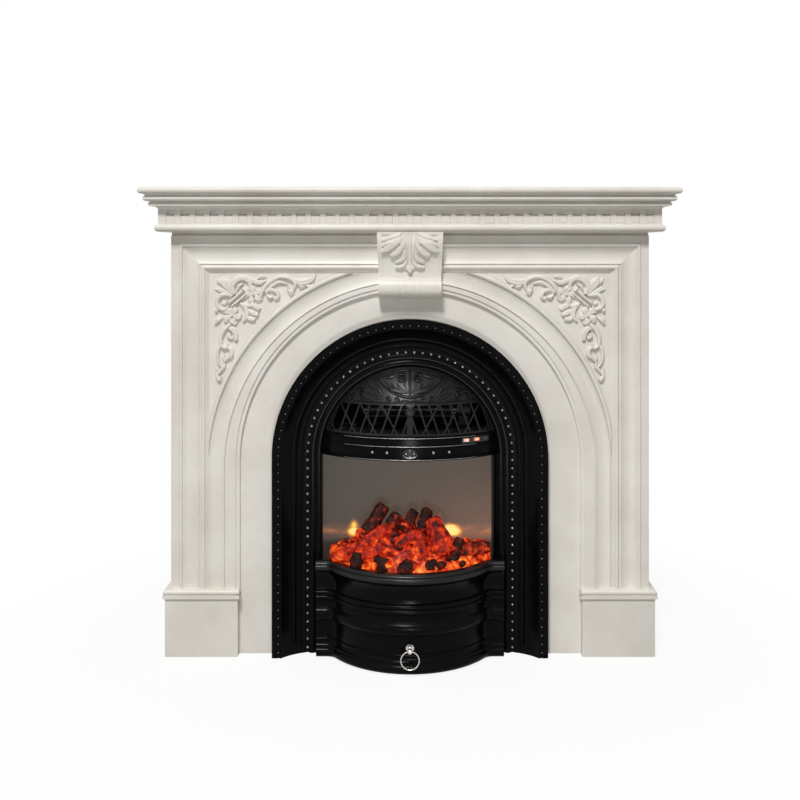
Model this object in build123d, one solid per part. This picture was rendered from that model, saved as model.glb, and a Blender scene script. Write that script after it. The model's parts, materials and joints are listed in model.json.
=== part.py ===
from build123d import *
import math
import os

# Arched mantel in cast marble with a bowed cast-iron electric fire in its opening.
# Millimetres, +Z up, the viewer stands at -Y. Depths are written as `ahead`: how far a
# plane stands in front of the slip panel's face. The origin is the middle of the footprint.

# Mantel: overall sizes
frame_width = 1233.0
body_depth = 205.0
frame_face = 13.0
field_face = 5.0
panel_back = -15.0
board = 20.0

# Mantel: heights of the courses, from the floor up
plinth_height = 146.0
cap_height = 26.0
panel_rise = 920.6
neck_height = 19.0
frieze_height = 39.4
bed_height = 19.0
sub_shelf_height = 18.0
shelf_height = 17.0

# Mantel: how far each course stands out past the frame on the front and both sides
neck_out = 35.0
frieze_out = 27.0
cove_out = 40.0
bed_out = 47.0
sub_shelf_out = 58.0
shelf_out = 69.0

# Frieze arcade
niche_count = 34
niche_pitch = 37.1
niche_width = 23.0
niche_depth = 7.0
niche_sill = 3.4
niche_top = 2.0

# Arch of the mantel and its mouldings
arch_border = 176.5
arch_crown_gap = 149.6
band_step = 9.5
band_width = 36.0
ring_drop = 16.0
ring_cove = 41.0
ring_quirk = 3.0
rim_width = 11.0
ring_face = 15.0
band_face = 12.5
band_drop = 3.5

# Picture-frame moulding: distances in from its outer edge
frame_top_gap = 9.1
frame_band = 20.0
frame_bead_end = 30.0
frame_cove_start = 34.0
frame_cove_end = 73.0
frame_inner_bead = 77.0
frame_slope = 88.0
frame_mould = 97.0
frame_bead_rise = 2.6
frame_cove_depth = 5.5
quirk_depth = 2.5

# Plinth blocks
plinth_inset = 3.0
plinth_side_out = 13.5
plinth_face = 23.0
cap_out = 5.0
plinth_wall = 20.0

# Fixing batten at the back, with two pairs of screw holes
batten_hole = 3.0
batten_outer = 1000.0
batten_inner = 400.0
batten_hole_drop = 27.0

# Slip panel and its rebate
rebate_width = 30.0
slip_clear = 6.0
clip_heights = (260.0, 420.0)
clip_width = 40.0

# Keystone
key_top_width = 170.0
key_body_width = 161.0
key_body_height = 115.6
key_roll_radius = 28.5
key_roll_depth = 18.0
key_top_depth = 44.0
key_waist_depth = 31.0
key_border = 9.0
key_recess = 3.0
leaf_rise = 4.0
leaf_half = 56.0
leaf_hang = 108.6

# Cast surround of the fire
surround_radius = 354.5
surround_face = 32.0
surround_centre = 514.0
land_width = 24.5
surround_wall = 5.0
cove_foot_gap = 6.0
ring_plane = -7.0
ring_back = -12.0
opening_half = 229.0
outer_bead_inset = 18.5
inner_bead_outset = 37.0
bead_channel = 1.5

# Bulging hood and the rail under it
hood_bulge = 95.0
hood_wall = 4.0
rail_bottom = 517.0
rail_top = 577.0
lattice_top = 656.0
lattice_border = 5.0
lattice_bar = 4.4
lattice_pitch = 27.0
lattice_lean = 28.0
cross_pitch = 54.0
cross_lean = 47.0
post_half = 7.5
medallion_rise = 6.0
boss_half = 20.0

# Bowed basket front in plan
bow_end = 241.0
bow_chord = 201.0
bow_sagitta = 107.0
bow_blend = 26.0
bow_wall = 18.0
rim_height = 21.0
apron_top = 229.0
apron_bottom = 97.0
drawer_gap = 0.6
drawer_foot = 3.0
rim_out = 14.0
end_web = 6.0

# Fire box
box_radius = 262.0
box_flange = 10.0
sheet = 2.0
box_back = -190.0
deck_top = 203.0
deck_sheet = 3.0
screen_back = -53.0
screen_sheet = 3.0
screen_left = -236.0
screen_right = 215.0
cheek_sheet = 2.5

# Ash drawer and its pull
pan_half = 165.0
pan_floor = 12.0
pan_height = 50.0
pan_sheet = 2.0
pan_back = -150.0
drawer_travel = 110.0
knob_height = 66.3
knob_radius = 7.0
knob_reach = 18.0
knob_hole = 2.95
ring_radius = 22.3
ring_wire = 1.6

# Rocker switches on the hood rail
rocker_angles = (26.0, 31.4, 36.0)
rocker_half = 7.2
rocker_height = 7.0
rocker_tilt = 8.0
rocker_level = 564.0
rocker_gap = 1.0
trunnion_radius = 1.0
trunnion_play = 0.06

# Flicker spindle
spindle_height = 248.0
spindle_depth = -110.0
spindle_radius = 2.0
spindle_half = 200.0
shaft_play = 0.08
foil_count = 12
foil_length = 24.0

# Warm-air blower
wheel_radius = 27.0
wheel_half = 110.0
wheel_lift = 39.0
wheel_depth = -92.0
wheel_shaft = 3.0
blade_count = 18
scroll_gap = 5.0

# Running fit of parts that only sit beside each other
seat = 0.3

# Planes worked out from the sizes above
bow_centre = surround_face + bow_sagitta - (bow_chord**2 + bow_sagitta**2) / (2 * bow_sagitta)
bow_radius = surround_face + bow_sagitta - bow_centre
bow_front = surround_face + bow_sagitta
reach = bow_front + knob_reach
face_y = (body_depth + reach) / 2 - body_depth
half_frame = frame_width / 2
cap_top = plinth_height + cap_height
neck_bottom = cap_top + panel_rise
frieze_bottom = neck_bottom + neck_height
bed_bottom = frieze_bottom + frieze_height
sub_shelf_bottom = bed_bottom + bed_height
shelf_bottom = sub_shelf_bottom + sub_shelf_height
wall = -body_depth
hood_radius = (opening_half**2 + hood_bulge**2) / (2 * hood_bulge)
hood_centre = ring_plane + hood_bulge - hood_radius
far_front = reach + 50.0
arch_radius = half_frame - arch_border
arch_centre = neck_bottom - arch_crown_gap - arch_radius
ring_centre = arch_centre - ring_drop
ring_inner = arch_radius + band_width
cove_end = ring_inner + ring_cove
rim_start = cove_end + ring_quirk
rim_end = rim_start + rim_width
plinth_inner = arch_radius + plinth_inset
key_body_bottom = neck_bottom - key_body_height
leaf_tip = neck_bottom - leaf_hang
surround_land = surround_radius - land_width
outer_bead_row = surround_radius - outer_bead_inset
inner_bead_row = opening_half + inner_bead_outset
cove_foot = inner_bead_row + cove_foot_gap
slip_cut = (surround_land + cove_foot) / 2 + slip_clear
wheel_height = rail_top + sheet + wheel_lift


def y_of(ahead):
    return face_y - ahead


def prism(outline, near, far):
    """Extrudes an outline drawn in X and Z between two depths, near being the one further back."""
    return extrude(Plane.XZ.offset(near - face_y) * outline, amount=far - near)


def plan(outline, low, high):
    """Extrudes an outline drawn in X and depth between two heights."""
    return extrude(Plane.XY.offset(low) * outline, amount=high - low)


def slab(x0, x1, near, far, low, high):
    centre = ((x0 + x1) / 2, y_of((near + far) / 2), (low + high) / 2)
    return Pos(*centre) * Box(x1 - x0, far - near, high - low)


def trace(start, *legs):
    """A closed face: each leg is an end point, or a (through, end) pair that makes an arc."""
    edges = []
    here = start
    for leg in legs:
        if isinstance(leg[0], tuple):
            edges.append(ThreePointArc(here, leg[0], leg[1]))
            here = leg[1]
        else:
            edges.append(Line(here, leg))
            here = leg
    if math.dist(here, start) > 1e-6:
        edges.append(Line(here, start))
    return make_face(Curve() + edges)


def rectangle(x0, x1, low, high):
    return Pos((x0 + x1) / 2, (low + high) / 2) * Rectangle(x1 - x0, high - low)


def arch_outline(radius, centre, low=0.0):
    return trace((-radius, low), (-radius, centre), ((0, centre + radius), (radius, centre)), (radius, low))


def archway(profile, centre, low=0.0):
    """Carries a profile, drawn as (radius, y), up one jamb, round the arch and down the other."""
    face = Plane.XY.offset(centre) * profile
    crown = revolve(face, Axis((0, 0, centre), (0, -1, 0)), 180)
    leg = extrude(face, amount=low - centre)
    return crown + leg + mirror(leg, Plane.YZ)


def run_mould(corners, profile):
    """Sweeps a profile, drawn as (out, height), along a plan line, mitred, outside on its right."""
    path = Polyline(*[(x, y_of(ahead), 0) for x, ahead in corners])
    start = path.edges()[0].position_at(0)
    along = path.edges()[0].tangent_at(0)
    right = Vector(along.Y, -along.X, 0)
    plane = Plane(origin=start, x_dir=right, z_dir=-along)
    return sweep(plane * profile, path=path, transition=Transition.RIGHT)


def both_sides(solid):
    return {"left": mirror(solid, Plane.YZ), "right": solid}


def save(name, *solids):
    shape = solids[0] if len(solids) == 1 else Compound(children=list(solids))
    export_step(shape, f"parts/{name}.step")


os.makedirs("parts", exist_ok=True)


# Shelf courses

def course_line():
    return [(-half_frame, wall), (-half_frame, frame_face), (half_frame, frame_face), (half_frame, wall)]


def rounded_course(low, high, out, radius):
    body = slab(-half_frame - out, half_frame + out, wall, frame_face + out, low, high)
    front = body.edges().filter_by(Axis.X).sort_by(Axis.Y)[:2]
    left = body.edges().filter_by(Axis.Y).sort_by(Axis.X)[:2]
    right = body.edges().filter_by(Axis.Y).sort_by(Axis.X)[-2:]
    return fillet(front + left + right, radius)


shelf_top = shelf_bottom + shelf_height
shelf = rounded_course(shelf_bottom, shelf_top, shelf_out, shelf_height * 0.48)
save("mantel_shelf", shelf)

roll_top = sub_shelf_bottom + 13.0
sub_shelf = rounded_course(sub_shelf_bottom, roll_top, sub_shelf_out, 6.2)
sub_shelf += slab(
    -half_frame - sub_shelf_out + 4,
    half_frame + sub_shelf_out - 4,
    wall,
    frame_face + sub_shelf_out - 4,
    roll_top,
    shelf_bottom,
)
save("sub_shelf_mould", sub_shelf)

cove_top = bed_bottom + 7.0
fillet_top = cove_top + 8.0
bed_profile = trace(
    (-board, bed_bottom),
    (frieze_out + 0.5, bed_bottom),
    ((frieze_out + 4.0, bed_bottom + 4.6), (cove_out, cove_top)),
    (bed_out, cove_top),
    (bed_out, fillet_top),
    (bed_out - 3, fillet_top),
    (bed_out - 3, sub_shelf_bottom),
    (-board, sub_shelf_bottom),
)
bed_core = slab(-half_frame, half_frame, wall, frame_face, bed_bottom, sub_shelf_bottom)
save("bed_mould", run_mould(course_line(), bed_profile) + bed_core)

neck = rounded_course(neck_bottom, frieze_bottom, neck_out, neck_height * 0.48)
save("neck_bead", neck)


# Frieze with its arcade of round-headed niches

def niche_outline():
    half = niche_width / 2
    low = frieze_bottom + niche_sill
    spring = bed_bottom - niche_top - half
    return trace((-half, low), (-half, spring), ((0, spring + half), (half, spring)), (half, low))


frieze_half = half_frame + frieze_out
frieze_face = frame_face + frieze_out
frieze = slab(-frieze_half, frieze_half, frieze_face - board, frieze_face, frieze_bottom, bed_bottom)
niche = prism(niche_outline(), frieze_face - niche_depth, frieze_face + 1)
first_niche = -niche_pitch * (niche_count - 1) / 2
niches = [Pos(first_niche + niche_pitch * i, 0, 0) * niche for i in range(niche_count)]
save("frieze_board", frieze - niches)

frieze_return = slab(frieze_half - board, frieze_half, wall, frieze_face - board, frieze_bottom, bed_bottom)
save("frieze_returns", frieze_return, mirror(frieze_return, Plane.YZ))


# Arch panel, returns and slip panel

rebate = arch_radius + rebate_width
panel = prism(rectangle(-half_frame, half_frame, cap_top, neck_bottom), panel_back, field_face)
panel -= prism(arch_outline(arch_radius, arch_centre), panel_back - 1, field_face + 1)
panel -= prism(arch_outline(rebate, arch_centre), panel_back - 1, 0)
save("arch_panel", panel)

panel_return = slab(half_frame - board, half_frame, wall, panel_back, cap_top, neck_bottom)
save("return_boards", panel_return, mirror(panel_return, Plane.YZ))

slip = prism(arch_outline(rebate - seat, arch_centre), panel_back, 0)
slip -= prism(arch_outline(slip_cut, surround_centre, -1), panel_back - 1, 1)
save("slip_panel", slip)

clip_low = rebate - clip_width * 0.4
clip = slab(clip_low, clip_low + clip_width, panel_back - 3, panel_back, 0, clip_width * 0.6)
clip_spots = [Pos(0, 0, z) * clip for z in clip_heights]
top_clip = slab(-clip_width / 2, clip_width / 2, panel_back - 3, panel_back, 0, clip_width)
top_clip = Pos(0, 0, arch_centre + clip_low) * top_clip
clips = clip_spots + [mirror(c, Plane.YZ) for c in clip_spots] + [top_clip]
save("slip_clips", *clips)

batten_half = half_frame - board
batten = slab(-batten_half, batten_half, wall, wall + 18, neck_bottom - 55, neck_bottom)
for x in (-batten_outer / 2, -batten_inner / 2, batten_inner / 2, batten_outer / 2):
    hole = Pos(x, y_of(wall + 9), neck_bottom - batten_hole_drop) * Rot(90, 0, 0) * Cylinder(batten_hole, 40)
    batten -= hole
save("wall_batten", batten)


# Keystone console, its roll and its leaf

def console_profile(shift, low):
    """Side view of the console, with its front moved forward by `shift`."""
    top = neck_bottom
    return trace(
        (field_face, low),
        (field_face, top),
        (key_top_depth + shift, top),
        (key_top_depth + shift, top - 8),
        ((key_top_depth + 2.5 + shift, top - 30), (key_top_depth - 4 + shift, top - 58)),
        ((key_waist_depth + 1 + shift, top - 84), (key_waist_depth + shift, low)),
    )


def across(profile, half):
    """Extrudes a (depth, height) profile to both sides of the middle."""
    points = Plane(origin=(-half, face_y, 0), x_dir=(0, -1, 0), z_dir=(-1, 0, 0)) * profile
    return extrude(points, amount=-2 * half)


key_wedge = trace(
    (-key_top_width / 2, neck_bottom),
    (key_top_width / 2, neck_bottom),
    (key_body_width / 2, key_body_bottom),
    (key_body_width / 2, key_body_bottom - 80),
    (-key_body_width / 2, key_body_bottom - 80),
    (-key_body_width / 2, key_body_bottom),
)
key_height = key_body_bottom - key_roll_radius
whole_console = across(console_profile(0, key_height), key_top_width / 2)
inner_half = key_body_width / 2 - key_border
sunk_console = across(console_profile(-key_recess, key_height), inner_half)
border_cut = prism(rectangle(-inner_half, inner_half, key_body_bottom, neck_bottom - 8), field_face, far_front)
console = whole_console - border_cut + sunk_console
console = console & prism(key_wedge, field_face, far_front)
roll = Pos(0, y_of(key_roll_depth), key_height) * Rot(0, 90, 0) * Cylinder(key_roll_radius, key_body_width)
roll_front = slab(-100, 100, seat, 90, key_height - 60, key_height + 60)
lip_low = arch_centre + math.sqrt(arch_radius**2 - (key_body_width / 2) ** 2) - 1
roll_lip = slab(-100, 100, seat, field_face, lip_low, key_height + 60)
keystone = console + ((roll & roll_front) - roll_lip)
save("keystone", keystone)

leaf_outline = trace(
    (-leaf_half, neck_bottom - 9),
    ((-leaf_half + 4, (neck_bottom + leaf_tip) / 2 + 8), (0, leaf_tip)),
    ((leaf_half - 4, (neck_bottom + leaf_tip) / 2 + 8), (leaf_half, neck_bottom - 9)),
)
leaf_block = across(console_profile(leaf_rise - key_recess, key_height), leaf_half)
leaf = (leaf_block - sunk_console) & prism(leaf_outline, field_face, far_front)
leaf = leaf - roll
save("keystone_leaf", leaf.solids().sort_by(SortBy.VOLUME)[-1])
key_clear = prism(offset(key_wedge, seat), 0, far_front)


# Picture-frame moulding

def frame_profile():
    """Section of the frame moulding as (in from the outer edge, ahead)."""
    mid_cove = (frame_cove_start + frame_cove_end) / 2
    crest = frame_face + frame_bead_rise
    low = frame_face - quirk_depth
    return trace(
        (0, field_face),
        (0, frame_face),
        (frame_band, frame_face),
        (((frame_band + frame_bead_end) / 2, crest), (frame_bead_end, frame_face)),
        (frame_bead_end, low),
        (frame_cove_start, low),
        (frame_cove_start, frame_face),
        ((mid_cove, frame_face - frame_cove_depth), (frame_cove_end, frame_face)),
        (frame_cove_end, low),
        (frame_inner_bead, low),
        (frame_inner_bead, frame_face - 1),
        (((frame_inner_bead + frame_slope) / 2, crest), (frame_slope, frame_face - 1)),
        (frame_mould, field_face + 0.4),
        (frame_mould, field_face),
    )


frame_top = neck_bottom - frame_top_gap
upright = Plane(origin=(half_frame, face_y, cap_top), x_dir=(-1, 0, 0), z_dir=(0, 0, 1))
stile = extrude(upright * frame_profile(), amount=frame_top - cap_top)
stile_outline = trace(
    (half_frame, cap_top),
    (half_frame, frame_top),
    (half_frame - frame_mould, frame_top - frame_mould),
    (half_frame - frame_mould, cap_top),
)
stile = stile & prism(stile_outline, field_face, far_front)
for side, solid in both_sides(stile).items():
    save(f"frame_stile_{side}", solid)

level = Plane(origin=(0, face_y, frame_top), x_dir=(0, 0, -1), z_dir=(-1, 0, 0))
rail = extrude(level * frame_profile(), amount=-half_frame)
rail_outline = trace(
    (0, frame_top),
    (half_frame, frame_top),
    (half_frame - frame_mould, frame_top - frame_mould),
    (0, frame_top - frame_mould),
)
rail = (rail & prism(rail_outline, field_face, far_front)) - key_clear
for side, solid in both_sides(rail).items():
    save(f"frame_rail_{side}", solid)


# Arch mouldings, planted on the panel inside the frame

def ring_profile():
    """Section of the arch's outer mouldings as (radius, y)."""
    mid = (ring_inner + cove_end) / 2
    quirk = y_of(band_face - quirk_depth)
    return trace(
        (ring_inner, y_of(field_face)),
        (ring_inner, quirk),
        (ring_inner + 3, quirk),
        (ring_inner + 3, y_of(ring_face - 1)),
        ((mid + 3, y_of(ring_face - 6)), (cove_end, y_of(ring_face - 1))),
        (cove_end, quirk),
        (rim_start, quirk),
        (rim_start, y_of(ring_face - 1.5)),
        (((rim_start + rim_end) / 2, y_of(ring_face + 2)), (rim_end, y_of(ring_face - 1.5))),
        (rim_end, y_of(field_face)),
    )


inside_frame = rectangle(
    -half_frame + frame_mould + seat,
    half_frame - frame_mould - seat,
    cap_top,
    frame_top - frame_mould - seat,
)
archivolt = archway(ring_profile(), ring_centre, cap_top)
archivolt = (archivolt & prism(inside_frame, field_face, far_front)) - key_clear
save("archivolt", *archivolt.solids())

band = prism(arch_outline(ring_inner, ring_centre, cap_top), field_face, band_face)
band -= prism(arch_outline(arch_radius, arch_centre), field_face - 1, far_front)
band -= prism(arch_outline(arch_radius + band_step, arch_centre), band_face - band_drop, far_front)
save("arch_band", *(band - key_clear).solids())


# Carved spandrels: the raised ground that the scrolls stand on

def spandrel_ground():
    inset = 10.0
    corner = prism(
        rectangle(
            key_top_width / 2 + 24,
            half_frame - frame_mould - inset,
            arch_centre + arch_radius * 0.34,
            frame_top - frame_mould - inset,
        ),
        field_face,
        field_face + 3,
    )
    return corner - prism(arch_outline(rim_end + inset, ring_centre), 0, far_front)


for side, solid in both_sides(spandrel_ground()).items():
    save(f"spandrel_carving_{side}", solid)


# Plinth blocks and caps

def plinth_plan():
    inner_back = rebate + seat
    return trace(
        (plinth_inner, y_of(seat)),
        (plinth_inner, y_of(plinth_face)),
        (half_frame + plinth_side_out, y_of(plinth_face)),
        (half_frame + plinth_side_out, y_of(wall)),
        (inner_back, y_of(wall)),
        (inner_back, y_of(seat)),
    )


plinth = plan(plinth_plan(), 0, plinth_height)
plinth -= slab(
    rebate + seat + plinth_wall,
    half_frame + plinth_side_out - plinth_wall,
    wall - 1,
    panel_back - 5,
    -1,
    plinth_height + 1,
)
for side, solid in both_sides(plinth).items():
    save(f"plinth_block_{side}", solid)

cap_line = [
    (plinth_inner, seat),
    (plinth_inner, plinth_face),
    (half_frame + plinth_side_out, plinth_face),
    (half_frame + plinth_side_out, wall),
]
cap_profile = trace(
    (-3, plinth_height),
    (0, plinth_height),
    ((1.2, plinth_height + 2.8), (cap_out - 1, plinth_height + 4)),
    (cap_out, plinth_height + 4),
    (cap_out, plinth_height + 12),
    (cap_out - 3.5, plinth_height + 12),
    (cap_out - 3.5, plinth_height + 16),
    (cap_out - 1, plinth_height + 16),
    ((cap_out - 1.5, cap_top - 3), (0, cap_top)),
    (-3, cap_top),
)
cap = run_mould(cap_line, cap_profile) + plan(plinth_plan(), plinth_height, cap_top)
save("plinth_caps", cap, mirror(cap, Plane.YZ))


# Cast surround: an arched plate that splays back to the opening

def surround_profile():
    """Section through the surround as (radius, y)."""
    half_channel = 3.0
    inner_top = inner_bead_row + 4.5
    inner_low = inner_bead_row - 4.5
    ring_mid = (inner_low + opening_half) / 2
    return trace(
        (surround_radius, y_of(0)),
        (surround_radius, y_of(surround_face - 3)),
        (surround_radius - 3, y_of(surround_face)),
        (outer_bead_row + half_channel, y_of(surround_face)),
        (outer_bead_row + half_channel, y_of(surround_face - bead_channel)),
        (outer_bead_row - half_channel, y_of(surround_face - bead_channel)),
        (outer_bead_row - half_channel, y_of(surround_face)),
        (surround_land, y_of(surround_face)),
        (((surround_land + cove_foot) / 2 - 3, y_of(6)), (cove_foot, y_of(ring_plane + 2))),
        (inner_top, y_of(ring_plane + 2)),
        (inner_top, y_of(ring_plane)),
        (inner_low, y_of(ring_plane)),
        (inner_low, y_of(ring_plane + 3)),
        (((inner_low + ring_mid) / 2, y_of(ring_plane + 5)), (ring_mid, y_of(ring_plane + 2))),
        (((opening_half + ring_mid) / 2, y_of(ring_plane + 5)), (opening_half, y_of(ring_plane + 1))),
        (opening_half, y_of(ring_back)),
        (cove_foot + 3, y_of(ring_back)),
        (
            ((surround_land + cove_foot) / 2 + 3, y_of(6 - surround_wall)),
            (surround_land + 4, y_of(surround_face - surround_wall - 1)),
        ),
        (surround_radius - surround_wall, y_of(surround_face - surround_wall - 1)),
        (surround_radius - surround_wall, y_of(0)),
    )


surround = archway(surround_profile(), surround_centre)
save("arch_surround", surround)


# Hood: a quarter bowl, pierced with a lattice over the rail

def dome(radius):
    return Pos(0, y_of(hood_centre), surround_centre) * Sphere(radius)


def dome_shell(inner, outer):
    return dome(outer) - dome(inner)


mouth = opening_half - seat
hood_mouth = Pos(0, surround_centre) * Circle(mouth)


def dome_part(outline, inner, outer):
    """The part of a domed shell that lies behind an outline drawn in X and Z."""
    return dome_shell(inner, outer) & prism(outline, ring_back, far_front)


crown_outline = hood_mouth & rectangle(-mouth, mouth, lattice_top, surround_centre + mouth)


def lattice_outline():
    low = rail_top + seat
    zone = hood_mouth & rectangle(-mouth, mouth, low, lattice_top)
    inner = Pos(0, surround_centre) * Circle(mouth - lattice_border)
    inner = inner & rectangle(-mouth, mouth, low + lattice_border, lattice_top - lattice_border)
    bars = zone - inner
    bars += rectangle(-post_half, post_half, low, lattice_top - 1)
    rise = lattice_top - low
    for lean, pitch, first in ((lattice_lean, lattice_pitch, 0.4), (-cross_lean, cross_pitch, 0.35)):
        for i in range(int(mouth / pitch) + 1):
            x = post_half + pitch * (i + first)
            bar = trace((x, low), (x + lattice_bar, low), (x + lattice_bar - lean, lattice_top), (x - lean, lattice_top))
            if x - lean > post_half - pitch:
                bars += bar & zone
                bars += mirror(bar, Plane.YZ) & zone
    return bars & zone


hood = dome_part(lattice_outline() + crown_outline, hood_radius - hood_wall, hood_radius)
save("pierced_hood", hood)

medallion_low = lattice_top + 8.0
medallion_high = surround_centre + mouth - 16.0
medallion_half = 118.0
boat = trace(
    (-medallion_half, medallion_low + 30),
    ((0, medallion_low - 8), (medallion_half, medallion_low + 30)),
    ((medallion_half / 2 + 4, medallion_high - 14), (0, medallion_high)),
    ((-medallion_half / 2 - 4, medallion_high - 14), (-medallion_half, medallion_low + 30)),
)
medallion = dome_part(boat & crown_outline, hood_radius, hood_radius + medallion_rise)
save("hood_medallion", medallion)


# Hood rail and its boss

def rail_profile():
    """Section of the rail as (radius from the bow's axis, height)."""
    face = hood_radius
    back = hood_radius - 8
    return trace(
        (back, rail_bottom),
        (face + 2, rail_bottom),
        ((face + 5, rail_bottom + 3), (face + 2, rail_bottom + 6)),
        (face - 1, rail_bottom + 6),
        (face - 1, rail_bottom + 11),
        (face + 1, rail_bottom + 11),
        (face + 1, rail_bottom + 34),
        (face + 2, rail_bottom + 34),
        ((face + 4, rail_bottom + 36), (face + 2, rail_bottom + 38)),
        (face, rail_bottom + 38),
        (face, rail_top - 6),
        (face + 2, rail_top - 6),
        ((face + 5, rail_top - 3), (face + 2, rail_top)),
        (back, rail_top),
    )


bow_axis = Axis((0, y_of(hood_centre), 0), (0, 0, 1))
bow_plane = Plane(origin=(0, y_of(hood_centre), 0), x_dir=(0, -1, 0), z_dir=(-1, 0, 0))


def about_bow(profile, sweep_angle, middle=0.0):
    """Turns a (radius, height) profile about the bow's upright axis, centred on an angle to the right."""
    solid = revolve(bow_plane * profile, bow_axis, sweep_angle)
    return solid.rotate(bow_axis, middle - sweep_angle / 2)


def at_bow(angle, radius, height):
    """A place on the bow: x to the right, local -Y outward."""
    turn = math.radians(angle)
    return Pos(radius * math.sin(turn), y_of(hood_centre) - radius * math.cos(turn), height) * Rot(0, 0, angle)


hood_rail = about_bow(rail_profile(), 100) & prism(hood_mouth, ring_back, far_front)

bezel_low = rail_bottom + 39.0
bezel_high = rail_top - 6.5
bezel_span = rocker_angles[2] - rocker_angles[0] + 4.5
bezel_mid = (rocker_angles[0] + rocker_angles[2]) / 2
bezel_section = rectangle(hood_radius - 14, hood_radius + 2, bezel_low, bezel_high)
bezel = about_bow(bezel_section, bezel_span, bezel_mid)
bezel_hole = about_bow(rectangle(hood_radius - 20, hood_radius + 20, bezel_low, bezel_high), bezel_span, bezel_mid)

boss_mid = rail_bottom + 20.0
boss_outline = Pos(0, boss_mid) * Ellipse(boss_half, 13)
boss_shell = about_bow(rectangle(hood_radius - 2, hood_radius + 8, boss_mid - 20, boss_mid + 20), 20)
save("hood_rail", (hood_rail - bezel_hole) + (boss_shell & prism(boss_outline, 0, far_front)))

pivot = hood_radius + 0.5
pocket = Box(2 * (rocker_half + rocker_gap), 40, rocker_height + 0.8)
trunnion_hole = Cylinder(trunnion_radius + trunnion_play, rocker_height + 3.0)
for angle in rocker_angles:
    bezel -= at_bow(angle, pivot, rocker_level) * Pos(0, -8, 0) * pocket
    bezel -= at_bow(angle, pivot, rocker_level) * trunnion_hole
save("switch_bezel", bezel)

rocker_section = trace(
    (-rocker_half, -4),
    (0, -3),
    (rocker_half, -4),
    (rocker_half, 0),
    (4, 4),
    (-4, 4),
    (-rocker_half, 0),
)
rocker = Pos(0, 0, -rocker_height / 2) * extrude(rocker_section, amount=rocker_height)
rocker += Cylinder(trunnion_radius, rocker_height + 2.4)
for name, angle in zip(("flame_rocker", "low_heat_rocker", "high_heat_rocker"), rocker_angles):
    save(name, at_bow(angle, pivot, rocker_level) * Rot(0, 0, -rocker_tilt) * rocker)


# Bowed basket: plan line of the front, moved outward by `out`

def bow_points(out):
    radius = bow_radius + out
    blend = bow_blend - out
    blend_ahead = surround_face + bow_blend
    blend_x = math.sqrt((bow_radius + bow_blend) ** 2 - (blend_ahead - bow_centre) ** 2)
    share = radius / (radius + blend)
    join = (blend_x * share, bow_centre + (blend_ahead - bow_centre) * share)
    lean = math.atan2(blend_x - join[0], blend_ahead - join[1]) / 2
    middle = (blend_x - blend * math.sin(lean), blend_ahead - blend * math.cos(lean))
    return blend_x, surround_face + out, middle, join


def bow_outline(out, half, back):
    """Closed plan of the basket, from the back plane to the bowed front, cut off at the half width."""
    flat_x, flat, middle, join = bow_points(out)
    right = [(x, y_of(a)) for x, a in ((bow_end, back), (bow_end, flat), (flat_x, flat), middle, join)]
    left = [(-x, y) for x, y in right]
    front = (0, y_of(bow_front + out))
    whole = trace(
        left[0],
        left[1],
        left[2],
        (left[3], left[4]),
        (front, right[4]),
        (right[3], right[2]),
        right[1],
        right[0],
    )
    if half >= bow_end:
        return whole
    return whole & rectangle(-half, half, y_of(2 * bow_front), y_of(back))


def bow_path():
    flat_x, flat, middle, join = bow_points(0)
    right = [(x, y_of(a), 0) for x, a in ((bow_end, flat), (flat_x, flat), middle, join)]
    left = [(-x, y, z) for x, y, z in right]
    return Wire(
        [
            Edge.make_line(left[0], left[1]),
            Edge.make_three_point_arc(left[1], left[2], left[3]),
            Edge.make_three_point_arc(left[3], (0, y_of(bow_front), 0), right[3]),
            Edge.make_three_point_arc(right[3], right[2], right[1]),
            Edge.make_line(right[1], right[0]),
        ]
    )


def bowed(profile):
    """Sweeps a profile, drawn as (out, height), along the bowed front."""
    plane = Plane(origin=(-bow_end, y_of(surround_face), 0), x_dir=(0, -1, 0), z_dir=(-1, 0, 0))
    return sweep(plane * profile, path=bow_path())


rim_bottom = apron_top
rim_top = apron_top + rim_height
rim_profile = trace(
    (-bow_wall, rim_bottom),
    (rim_out - 5, rim_bottom),
    (rim_out - 5, rim_bottom + 3),
    (rim_out - 2, rim_bottom + 3),
    ((rim_out, rim_bottom + 8), (rim_out - 3, rim_bottom + 13)),
    ((rim_out - 7, rim_top - 6), (rim_out - 10, rim_top)),
    (-bow_wall + 6, rim_top),
    (-bow_wall, rim_top - 6),
)
web_back = ring_plane + 5 + seat
rim_web = slab(bow_end - end_web, bow_end, web_back, surround_face - bow_wall, rim_bottom, rim_top - 6)
save("basket_rim", bowed(rim_profile) + rim_web + mirror(rim_web, Plane.YZ))

apron_profile = trace(
    (-bow_wall, apron_bottom),
    (-5, apron_bottom),
    ((2, apron_bottom + 15), (-5, apron_bottom + 30)),
    (-8, apron_bottom + 33),
    (-8, apron_bottom + 50),
    (-4, apron_bottom + 52),
    ((1, apron_bottom + 58), (-3, apron_bottom + 64)),
    ((0, apron_bottom + 70), (-4, apron_bottom + 76)),
    (-9, apron_bottom + 78),
    ((-7, apron_top - 22), (5, apron_top - 3)),
    (5, apron_top),
    (-bow_wall, apron_top),
)
apron_web = slab(bow_end - end_web, bow_end, web_back, surround_face - bow_wall, apron_bottom, apron_top)
save("bowed_apron", bowed(apron_profile) + apron_web + mirror(apron_web, Plane.YZ))

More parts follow.
